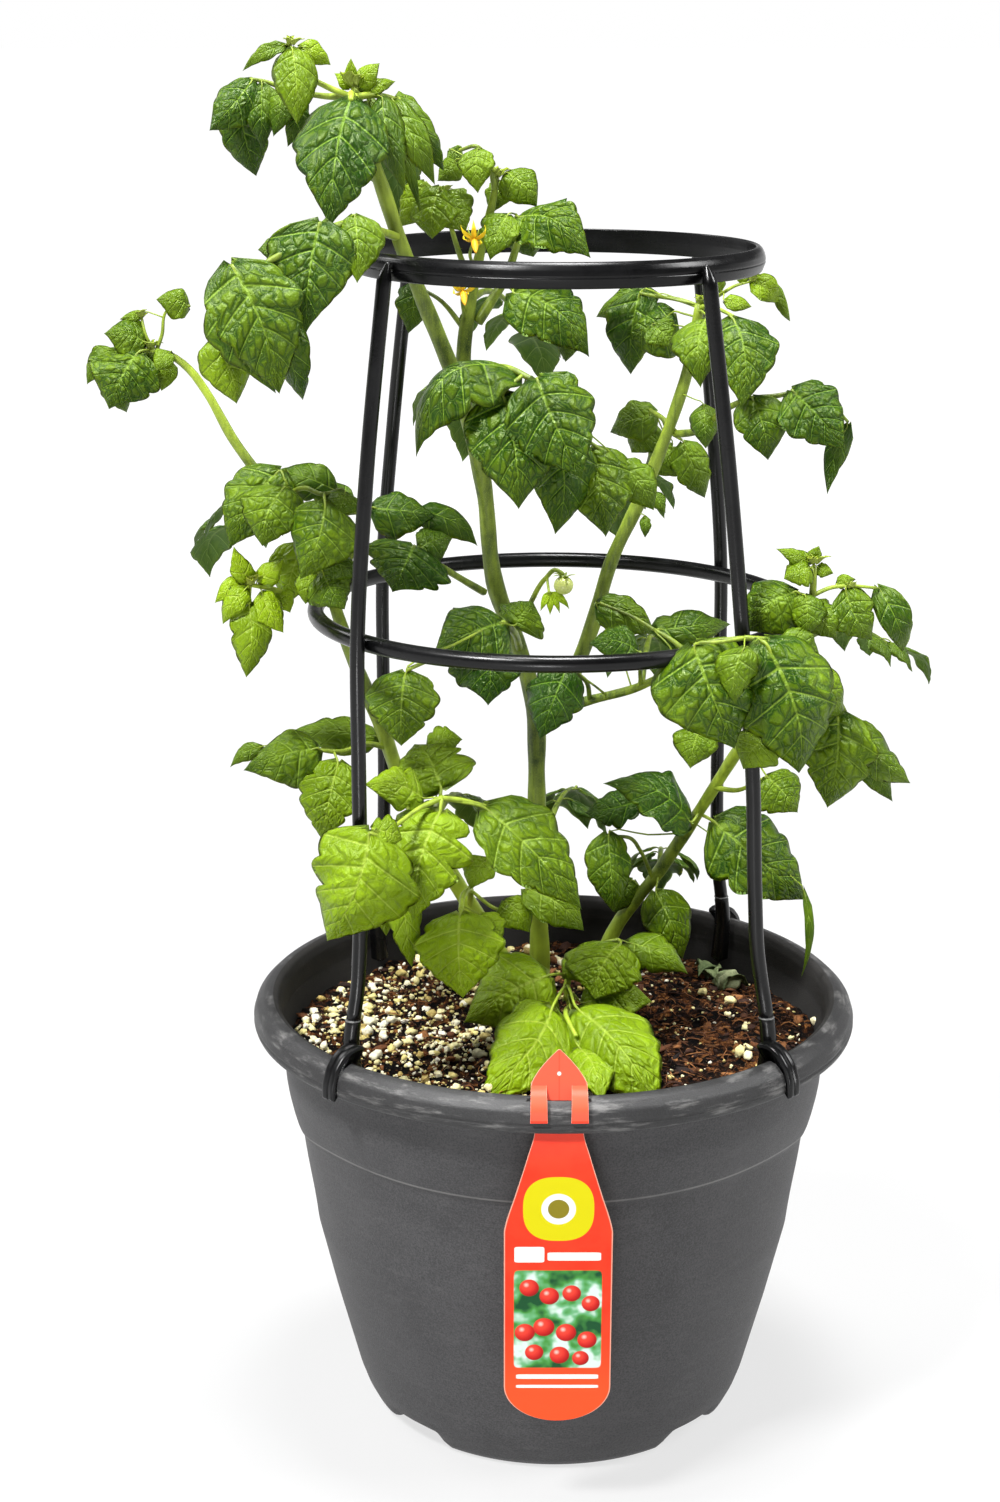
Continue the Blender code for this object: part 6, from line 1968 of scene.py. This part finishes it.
@dataclass
class Tag:
    """Flat tag: a pointed head above the rim, two prongs, a neck through the slot and a body."""

    finish: Material
    edge: Material
    HALF = 0.0254
    NECK = 0.0123
    THICK = 0.0008
    # Rows of (y, z, half width), from the head's point to the widest part, but for the neck
    HEAD = ((-0.1416, 0.2440, 0.0005), (-0.1425, 0.2390, 0.0056), (-0.1436, 0.2330, 0.0104))
    SHOULDERS = ((-0.1492, 0.1750, 0.0201), (-0.1480, 0.1590, 0.0248))
    PRONG = ((-0.1438, 0.2290, 0.0035), (-0.1458, 0.2264, 0.0036), (-0.1494, 0.2236, 0.0037),
             (-0.1529, 0.2195, 0.0038), (-0.1541, 0.2130, 0.0040))
    PRONG_X = 0.0094

    def add_strip(self, skin: Skin, rows: Sequence[tuple[float, float, float]], count: int,
                  shift: float = 0.0, columns: int = 12) -> None:
        """Adds a flat strip that is bent through rows of (y, z, half width).

        The strip follows a smooth curve through the rows, straight across, half its thickness to
        each side.

        Args:
            skin: the skin, whose materials 0 and 1 are the sheet and its edge.
            rows: where it goes and how wide it is.
            count: rows of the finished strip.
            shift: how far to the side it lies.
            columns: spans across.
        """
        y, z, half = smooth_path(np.array(rows), count).T
        half = np.minimum(half, self.HALF)
        way = unit(np.stack([np.gradient(y), np.gradient(z)], axis=1))
        u = np.linspace(-1, 1, columns + 1)
        px = shift + half[:, None] * u
        points = np.concatenate([
            np.stack([px, (y + side * way[:, 1] * self.THICK / 2)[:, None] + 0 * px,
                      (z - side * way[:, 0] * self.THICK / 2)[:, None] + 0 * px], -1).reshape(-1, 3)
            for side in (-1, 1)])
        wide, total = columns + 1, count * (columns + 1)
        back = grid_faces(count, wide)
        rim = np.concatenate([np.arange(wide), np.arange(1, count) * wide + columns,
                              (count - 1) * wide + np.arange(columns)[::-1],
                              np.arange(1, count - 1)[::-1] * wide])
        after = np.roll(rim, -1)
        edge = np.stack([after, rim, rim + total, after + total], axis=1)
        leaf = np.column_stack([np.tile(u, 2 * count), np.zeros(len(points))])
        skin.patch(points, [back, (back + total)[:, ::-1], edge], (0, 0, 1), leaf)

    def build(self) -> Piece:
        """Builds the tag.

        Returns:
            The piece.
        """
        skin = Skin()
        neck = [(slot_y(z), z, half) for z, half in
                ((0.2285, 0.0128), (0.2215, self.NECK), (0.2050, 0.0114), (0.1945, 0.0144))]
        straight = [(-0.1478 + 0.0078 * t, 0.1560 - 0.0800 * t, self.HALF) for t in (0, 0.25, 0.5, 0.75, 1)]
        end = [(-0.1400 + 0.0020 * np.sin(a), 0.0715 - 0.0195 * np.sin(a), self.HALF * np.cos(a))
               for a in np.radians((10, 20, 30, 40, 50, 60, 68, 75, 80, 84, 87, 89))]
        self.add_strip(skin, [*self.HEAD, *neck, *self.SHOULDERS, *straight, *end], 150)
        for side in (-1, 1):
            self.add_strip(skin, self.PRONG, 24, side * self.PRONG_X, 4)
        piece = skin.build("tag_sheet", [self.finish, self.edge], 40)
        return settle(piece, "plant_tag")


@dataclass(frozen=True)
class SoilSizes:
    """The soil's surface and what lies on it: counts, and sizes in metres.

    perlite and bark hold (count, least radius, largest radius, whether fine, share on the left),
    and lumps are larger grains of perlite on the right: (pixel u, pixel v, radius).
    """

    top: float = 0.1965
    under: float = 0.1840
    lump: float = 0.0016
    fall: float = 0.10
    wall: float = 0.1357
    rings: int = 80
    segments: int = 250
    perlite: tuple = ((2400, 0.0003, 0.0012, False, 0.86), (400, 0.0012, 0.0027, True, 0.95))
    bark: tuple = ((1400, 0.0006, 0.0020, False, 0.42), (116, 0.0024, 0.0042, True, 0.42))
    fibres: int = 1000
    lumps: tuple = ((730, 1004, 0.0026), (740, 1055, 0.0025), (748, 1058, 0.0023), (803, 986, 0.0030),
                    (815, 1023, 0.0022), (745, 1029, 0.0018), (703, 997, 0.0020), (728, 1013, 0.0018))
    scraps: tuple = ((742, 962), (758, 950), (772, 968), (785, 955), (795, 965), (765, 978))


@dataclass
class Soil:
    """Potting mix: crumbly peat, dense perlite on the left, bark and fibres on the right.

    materials are those of peat, perlite, bark and scraps.
    """

    materials: tuple[Material, Material, Material, Material]
    sizes: SoilSizes = SoilSizes()
    seed: int = 41
    # Numbers of the materials
    PEAT, PERLITE, BARK, SCRAP = range(4)

    def __post_init__(self) -> None:
        """Starts its source of chance and its skin."""
        self.rng, self.skin = np.random.default_rng(self.seed), Skin()

    def level(self, x: Array, y: Array) -> Array:
        """Tells the height of the soil: low lumps on a surface that falls towards the wall.

        Args:
            x: metres to the right.
            y: metres to the back.

        Returns:
            The heights.
        """
        s = self.sizes
        bumps = np.sin(61 * x + 1.3) * np.cos(53 * y) + 0.6 * np.sin(97 * y + 40 * x)
        return s.top + s.lump * bumps - s.fall * (x * x + y * y)

    def crumbs(self, x: Array, y: Array) -> Array:
        """Tells how far crumbs stand out of the surface: sines that run in many directions.

        Args:
            x: metres to the right.
            y: metres to the back.

        Returns:
            How far, in metres.
        """
        total = np.zeros_like(x)
        for k in range(14):
            angle, phase = 2.4 * k, 1.7 * k * k
            wave = 330 + 95 * k
            total += np.sin(wave * (x * np.cos(angle) + y * np.sin(angle)) + phase) / (1 + 0.12 * k)
        return 0.00042 * total

    def add_surface(self) -> None:
        """Adds the crumbly surface, closed below by a flat underside."""
        s = self.sizes
        radius = np.linspace(0.0008, s.wall, s.rings)
        angle = ring_angles(s.segments)
        x, y = radius[:, None] * np.cos(angle), radius[:, None] * np.sin(angle)
        z = self.level(x, y) + self.crumbs(x, y) + self.rng.normal(0, 0.00022, x.shape)
        points = np.stack([x, y, z], axis=-1).reshape(-1, 3)
        foot = np.stack([s.wall * np.cos(angle) * 0.985, s.wall * np.sin(angle) * 0.985,
                         np.full(s.segments, s.under)], axis=-1)
        ends = [(0.0, 0.0, float(self.level(0.0, 0.0))), (0.0, 0.0, s.under)]
        faces = [f[:, ::-1] for f in ring_faces(s.rings + 1, s.segments)]
        self.skin.patch(np.concatenate([points, foot, ends]), faces, self.PEAT, None, (0.5, 0, 0.5))

    def pebble(self, fine: bool) -> tuple[Array, Array]:
        """Makes the points and triangles of a round solid: 12 points, or 42 if it is fine.

        Args:
            fine: whether it is fine.

        Returns:
            The points and the triangles.
        """
        golden = (1 + 5 ** 0.5) / 2
        corners = [(a, b * golden, 0) for a in (-1, 1) for b in (-1, 1)]
        corners += [(0, a, b * golden) for a in (-1, 1) for b in (-1, 1)]
        corners += [(b * golden, 0, a) for a in (-1, 1) for b in (-1, 1)]
        points = unit(corners)
        near = np.linalg.norm(points[:, None] - points[None], axis=-1) < 1.2
        faces = np.array([(i, j, k) for i in range(12) for j in range(i + 1, 12)
                          for k in range(j + 1, 12) if near[i, j] and near[j, k] and near[i, k]])
        if fine:
            pairs = np.sort(np.concatenate([faces[:, side] for side in ([0, 1], [1, 2], [0, 2])]), axis=1)
            pairs, where = np.unique(pairs, axis=0, return_inverse=True)
            ab, bc, ac = np.split(where.ravel() + 12, 3)
            points = np.concatenate([points, unit(points[pairs].mean(axis=1))])
            a, b, c = faces.T
            quarters = ((a, ab, ac), (ab, b, bc), (ac, bc, c), (ab, bc, ac))
            faces = np.concatenate([np.stack(f, axis=1) for f in quarters])
        inward = np.linalg.det(points[faces]) < 0
        faces[inward] = faces[inward][:, ::-1]
        return points, faces

    def scatter(self, sizes: Array, share: Array, places: Array, number: int, fine: bool, sink: float,
                tones: Array) -> None:
        """Adds many lumps at once.

        Each takes the round solid, moves each of its points in or out a little, scales it along
        three axes of its own, turns it and sets it on the soil.

        Args:
            sizes: (count,) radii.
            share: (count, 3) scales along the lump's axes.
            places: (count, 2) places.
            number: the number of the material.
            fine: whether the solid has 42 points.
            sink: how deep a lump sits, as a share of its height.
            tones: (count,) own tints.
        """
        rng, count = self.rng, len(sizes)
        points, faces = self.pebble(fine)
        rough = 1 + rng.normal(0, 0.20, (count, len(points), 1))
        body = points[None] * rough * sizes[:, None, None] * share[:, None]
        tilt = rng.normal(0, 0.35, count)
        spin = rng.uniform(0, 2 * np.pi, count)
        x, y, z = np.moveaxis(body, -1, 0)
        c, s = np.cos(tilt)[:, None], np.sin(tilt)[:, None]
        x, z = x * c - z * s, x * s + z * c
        c, s = np.cos(spin)[:, None], np.sin(spin)[:, None]
        x, y = x * c - y * s, x * s + y * c
        low = (z.max(axis=1) - z.min(axis=1)) * (0.5 - sink)
        ground = self.level(*places.T) + self.crumbs(*places.T)
        world = np.stack([x + places[:, :1], y + places[:, 1:], z + (ground + low)[:, None]], axis=-1)
        index = faces[None] + (np.arange(count) * len(points))[:, None, None]
        tone = np.repeat(np.column_stack([tones, 0 * tones, tones]), len(points), axis=0)
        self.skin.patch(world.reshape(-1, 3), [index.reshape(-1, 3)], number, None, tone)

    def places(self, count: int, left: float, reach: float = 0.1325) -> Array:
        """Draws places in the pot.

        Args:
            count: how many.
            left: the share that falls to the left of a wavy line near the middle.
            reach: the largest distance from the pot's axis.

        Returns:
            (count, 2) places.
        """
        rng = self.rng
        radius = reach * np.sqrt(rng.uniform(0, 1, count))
        angle = rng.uniform(0, 2 * np.pi, count)
        x, y = radius * np.cos(angle), radius * np.sin(angle)
        wanted = rng.uniform(0, 1, count) < left
        border = 0.012 + 0.02 * np.sin(30 * y)
        flip = (x < border) != wanted
        return np.column_stack([np.where(flip, -x, x), y])

    def spot(self, u: float, v: float) -> Array:
        """Finds the place on the soil that is seen at a pixel.

        Args:
            u: pixels from the picture's left edge.
            v: pixels from its top edge.

        Returns:
            The point.
        """
        eye = np.array(VIEW.eye)
        ray = VIEW.sight(u, v, 0.0) - eye
        spot = eye + ray * (self.sizes.top - eye[2]) / ray[2]
        spot[2] = float(self.level(spot[0], spot[1]))
        return spot

    def add_grains(self) -> None:
        """Adds the perlite, the bark and the larger grains of perlite on the right."""
        s, rng = self.sizes, self.rng
        for count, low, high, fine, left in s.perlite:
            size = low + (high - low) * rng.uniform(0, 1, count)
            share = rng.uniform(0.65, 1.35, (count, 3)) * (1, 1, 0.8)
            self.scatter(size, share, self.places(count, left), self.PERLITE, fine, 0.25,
                         rng.uniform(0, 1, count))
        for count, low, high, fine, left in s.bark:
            size = rng.uniform(low, high, count)
            share = np.column_stack([rng.uniform(0.9, 1.4, count), rng.uniform(0.45, 0.8, count),
                                     rng.uniform(0.22, 0.45, count)])
            self.scatter(size, share, self.places(count, left), self.BARK, fine, 0.3,
                         rng.uniform(0, 1, count))
        spots = np.array([self.spot(u, v)[:2] for u, v, _ in s.lumps])
        self.scatter(np.array([size for _, _, size in s.lumps]),
                     rng.uniform(0.8, 1.3, (len(spots), 3)), spots, self.PERLITE, True, 0.1,
                     rng.uniform(0.3, 0.8, len(spots)))

    def add_fibres(self) -> None:
        """Adds short bent shreds, most of them on the right."""
        rng = self.rng
        for x, y in self.places(self.sizes.fibres, 0.3, 0.128):
            angle, bend = rng.uniform(0, 2 * np.pi), rng.normal(0, 0.6)
            long = rng.uniform(0.003, 0.013)
            t = np.linspace(-0.5, 0.5, 5)
            px = x + long * t * np.cos(angle + bend * t)
            py = y + long * t * np.sin(angle + bend * t)
            pz = self.level(px, py) + 0.0009 + rng.uniform(0, 0.0020) * (1 - 4 * t * t)
            radii = np.full(len(t), rng.uniform(0.00012, 0.00038))
            points, faces = tube(np.column_stack([px, py, pz]), radii, 3)
            self.skin.patch(points, faces, self.BARK, None, (rng.uniform(), 0, rng.uniform(0.2, 1.0)))

    def add_scraps(self) -> None:
        """Adds a few dry leaf scraps, which lie on the right."""
        rng = self.rng
        for u, v in self.sizes.scraps:
            spot = self.spot(u, v)
            spot[:2] *= min(1.0, 0.120 / float(np.hypot(spot[0], spot[1])))
            spot[2] = float(self.level(spot[0], spot[1])) + 0.0035
            angle = rng.uniform(0, 2 * np.pi)
            way = np.array([np.cos(angle), np.sin(angle), rng.uniform(-0.1, 0.3)])
            Blade(spot - way * 0.007, spot + way * 0.009, rng.uniform(0.008, 0.012),
                  unit(UP + 0.5 * rng.normal(size=3)), rng, 0.5, arch=0.3, crinkle=2.2,
                  fold=0.4).add_plain(self.skin, self.SCRAP)

    def build(self) -> Piece:
        """Builds the soil with everything on it.

        Returns:
            The piece.
        """
        self.add_surface()
        self.add_grains()
        self.add_fibres()
        self.add_scraps()
        return settle(self.skin.build("soil_mix", self.materials), "soil")


class Fruit:
    """The young round fruit, hanging from its stalk under a five-pointed calyx."""

    RINGS = 20
    SIDES = 32

    def __init__(self, at: tuple[float, float, float], radius: float) -> None:
        """Keeps the place where its stalk ends and its radius."""
        self.centre = VIEW.sight(*at) - UP * (radius + 0.0006)
        self.radius = radius

    def build(self, skin_finish: Material, calyx: Material) -> Piece:
        """Builds the fruit: a ball that is sunk a little at the stalk, with five faint ribs.

        At a latitude h, a point lies radius cos h (1 + 0.02 cos 5a) from the axis, the ribs being
        on the upper half only, and 0.95 radius sin h above the middle, less a dip at the stalk.

        Args:
            skin_finish: the material of the ball.
            calyx: that of the sepals.

        Returns:
            The piece.
        """
        skin = Skin()
        high = np.linspace(-np.pi / 2, np.pi / 2, self.RINGS + 2)[:, None]
        angle = ring_angles(self.SIDES)[None, :]
        r = self.radius * np.cos(high) * (1 + 0.02 * np.cos(5 * angle) * (high > 0))
        z = self.radius * (0.95 * np.sin(high) - 0.10 * np.exp(-((np.pi / 2 - high) / 0.35) ** 2))
        points = self.centre + np.stack([r * np.cos(angle), r * np.sin(angle), z + 0 * r], axis=-1)
        skin.patch(np.concatenate([points[1:-1].reshape(-1, 3), points[[0, -1], 0]]),
                   ring_faces(self.RINGS, self.SIDES))
        rng = np.random.default_rng(77)
        top = self.centre + UP * self.radius * 0.88
        for turn in ring_angles(5):
            way = np.array([np.cos(turn), np.sin(turn), 0.25])
            Blade(top, top + way * 0.0062, 0.0022, UP, rng, 0.6, arch=0.15, crinkle=0.4, fold=0.2,
                  thick=0.0002).add_plain(skin, 1, 0.5)
        return settle(skin.build("fruit_ball", [skin_finish, calyx]), "young_fruit")


class LampKind(Enum):
    """Where a lamp of the studio hangs: its place, its size across and its power in watts."""

    LEFT = ((-1.45, -1.60, 3.20), 0.58, 212.0)
    RIGHT = ((2.1, -0.2, 2.1), 0.9, 56.0)
    ABOVE = ((0.1, 0.1, 3.9), 1.0, 220.0)
    BEHIND = ((-1.5, 0.9, 1.7), 0.7, 16.0)
    LOW = ((-0.15, -1.35, 0.06), 0.25, 4.5)


class Studio:
    """Plain pale floor, white surroundings and large soft lamps."""

    TARGET = (0.0, 0.0, 0.33)
    FLOOR_HALF = 60.0
    WHITE = (1.0, 1.0, 1.0, 1.0)
    # Strength of the surroundings near the horizon and overhead
    SURROUNDINGS = (1.0, 0.11)

    def add_lamp(self, kind: LampKind) -> None:
        """Adds a square lamp that looks at the object.

        Args:
            kind: which lamp.
        """
        place, size, power = kind.value
        data = bpy.data.lights.new("lamp_" + kind.name.lower(), "AREA")
        data.shape, data.size, data.energy = "SQUARE", size, power
        lamp = bpy.data.objects.new(data.name, data)
        lamp.location = place
        way = Vector(self.TARGET) - Vector(place)
        lamp.rotation_euler = way.to_track_quat("-Z", "Y").to_euler()
        bpy.context.scene.collection.objects.link(lamp)

    def add_floor(self) -> None:
        """Adds the floor, whose own light grows with the distance from the object."""
        g = Graph("floor", 0.6, 0.2)
        x, y, _ = g.split(g.place)
        away = (x * x + y * y).math("SQRT")
        g.finish(g.mix(g.noise(1.5), (0.12, 0.12, 0.12), (0.125, 0.125, 0.125)),
                 Emission_Strength=away.fade(0.60, 3.0, 0.71, 1.0), Emission_Color=self.WHITE)
        skin = Skin()
        corners = np.array([(-1, -1, 0), (1, -1, 0), (1, 1, 0), (-1, 1, 0)], float) * self.FLOOR_HALF
        skin.patch(corners - (0, 0, 0.0003), [np.array([(0, 1, 2, 3)])])
        skin.build("floor", [g.material])

    def add_surroundings(self) -> None:
        """Adds white surroundings, which are darker overhead than near the horizon."""
        world = bpy.data.worlds.new("surroundings")
        world.use_nodes = True
        nodes = Nodes(world.node_tree)
        height = nodes.split(nodes.add("ShaderNodeTexCoord", {}, "Generated"))[2]
        near, overhead = self.SURROUNDINGS
        strength = nodes.add("ShaderNodeMapRange", {0: height, 1: 0.05, 2: 0.16, 3: near, 4: overhead})
        nodes.fill(world.node_tree.nodes["Background"], {0: self.WHITE, 1: strength})
        bpy.context.scene.world = world

    def build(self) -> None:
        """Builds the floor, the surroundings and the lamps, and sets the camera."""
        self.add_floor()
        self.add_surroundings()
        bpy.context.scene.view_settings.view_transform = "Standard"
        for kind in LampKind:
            self.add_lamp(kind)
        VIEW.place_camera()


GROWTHS = {
    "main_stem": Growth(MAIN_STEM + MIDDLE_LEAF + FRONT_LEAF + YOUNG_TRUSS, BACK_OF_MAIN,
                        (Tip((353, 86, 12), 13), Tip((290, 44, 20), 8)), True),
    "centre_shoot": Growth(CENTRE_SHOOT, BACK_OF_CENTRE, (Tip((497, 176, -28), 9), Tip((443, 193, -22), 8))),
    "left_shoot": Growth(LEFT_SHOOT + LOWER_LEFT_LEAF + LOW_FRONT_LEAF, BACK_OF_LEFT,
                         (Tip((150, 348, 4), 9), Tip((172, 304, 4), 8), Tip((141, 316, 2), 7),
                          Tip((250, 584, 34), 11, 0.95, 12)), True),
    "right_tall_shoot": Growth(RIGHT_TALL_SHOOT, BACK_OF_RIGHT,
                               (Tip((752, 281, -26), 8), Tip((700, 303, -32), 9))),
    "right_middle_branch": Growth(RIGHT_MIDDLE_BRANCH, BACK_OF_MIDDLE),
    "right_low_shoot": Growth(RIGHT_LOW_SHOOT, BACK_OF_LOW,
                              (Tip((814, 563, 74), 9), Tip((850, 586, 74), 6)), True),
    "base_sprout": Growth(BASE_SPROUT, (), (Tip((571, 1004, 4), 9, 0.95),), True),
}

BLACK, SOOT = (0.001, 0.001, 0.0011), (0.004, 0.004, 0.0043)
CAGE_PLASTIC = PlasticFinish("cage_plastic_gloss", BLACK, SOOT, 0.26, 0.00006, 0.00008, 0.10, 0.30)
BAND_PLASTIC = PlasticFinish("cage_band_gloss", BLACK, SOOT, 0.24, 0.00006, 0.00010, 0.10, 0.22,
                             (0.04, 0.04, 1.8))
SEAM_PLASTIC = PlasticFinish("cage_seam", (0.05, 0.05, 0.05), (0.14, 0.14, 0.135), 0.5, 0.0001)
TAG_EDGE = PlasticFinish("tag_edge", (0.60, 0.34, 0.26), (0.68, 0.46, 0.38), 0.45, 0.00005)
PERLITE = GrainFinish("perlite_grains", ((0.0, (0.34, 0.24, 0.07)), (0.3, (0.66, 0.58, 0.22)),
                                         (0.6, (0.82, 0.76, 0.45)), (1.0, (0.84, 0.81, 0.70))))
BARK = GrainFinish("bark_chips", ((0.0, (0.004, 0.0015, 0.001)), (0.4, (0.032, 0.010, 0.004)),
                                  (0.75, (0.13, 0.045, 0.013)), (1.0, (0.30, 0.125, 0.038))))
SCRAP = GrainFinish("dry_leaf", ((0.0, (0.06, 0.09, 0.03)), (0.5, (0.15, 0.19, 0.08)),
                                 (1.0, (0.30, 0.33, 0.18))))
LEAF_TOP = LeafFinish("leaf_upper_face", (0.008, 0.036, 0.001), (0.228, 0.352, 0.003),
                      (0.085, 0.175, 0.010), (0.34, 0.44, 0.05))
LEAF_UNDER = LeafFinish("leaf_lower_face", (0.052, 0.115, 0.018), (0.20, 0.30, 0.04),
                        (0.12, 0.21, 0.04), (0.36, 0.45, 0.12), 0.55, -0.7)
STEM = StemFinish("stem_skin", (0.018, 0.040, 0.002), (0.34, 0.45, 0.032))
PETAL = PetalFinish("petal_yellow_skin", (0.70, 0.52, 0.003), (0.68, 0.40, 0.002))
STAMEN = PetalFinish("stamen_yellow", (0.70, 0.45, 0.003), (0.62, 0.30, 0.003))


def main() -> None:
    """Builds every piece over the frame."""
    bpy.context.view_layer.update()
    Studio().build()

    Pot(PotFinish().make()).build()
    cage = Cage(CAGE_PLASTIC.make(), BAND_PLASTIC.make(), SEAM_PLASTIC.make())
    cage.build_top_hoop()
    cage.build_middle_hoop()
    for place, azimuths in cage.sizes.legs:
        cage.build_leg(place, azimuths)
        cage.build_clip(place, azimuths[-1])
    Tag(TagFinish().make(), TAG_EDGE.make()).build()
    Soil((PeatFinish().make(), PERLITE.make(), BARK.make(), SCRAP.make())).build()

    stem = STEM.make()
    plant = Plant((LEAF_TOP.make(), LEAF_UNDER.make(), stem))
    for seed, (node, growth) in enumerate(GROWTHS.items(), 100):
        plant.build(node, growth, seed)
    petal, stamen = PETAL.make(), STAMEN.make()
    for seed, (node, (at, reach)) in enumerate(FLOWERS.items(), 300):
        Flower(at, reach).build(node, (petal, petal, stem, stamen), seed)
    Fruit(FRUIT_AT, FRUIT_R).build(FruitFinish().make(), stem)


if __name__ == "__main__":
    logging.basicConfig(level=logging.INFO, format="%(message)s")
    main()
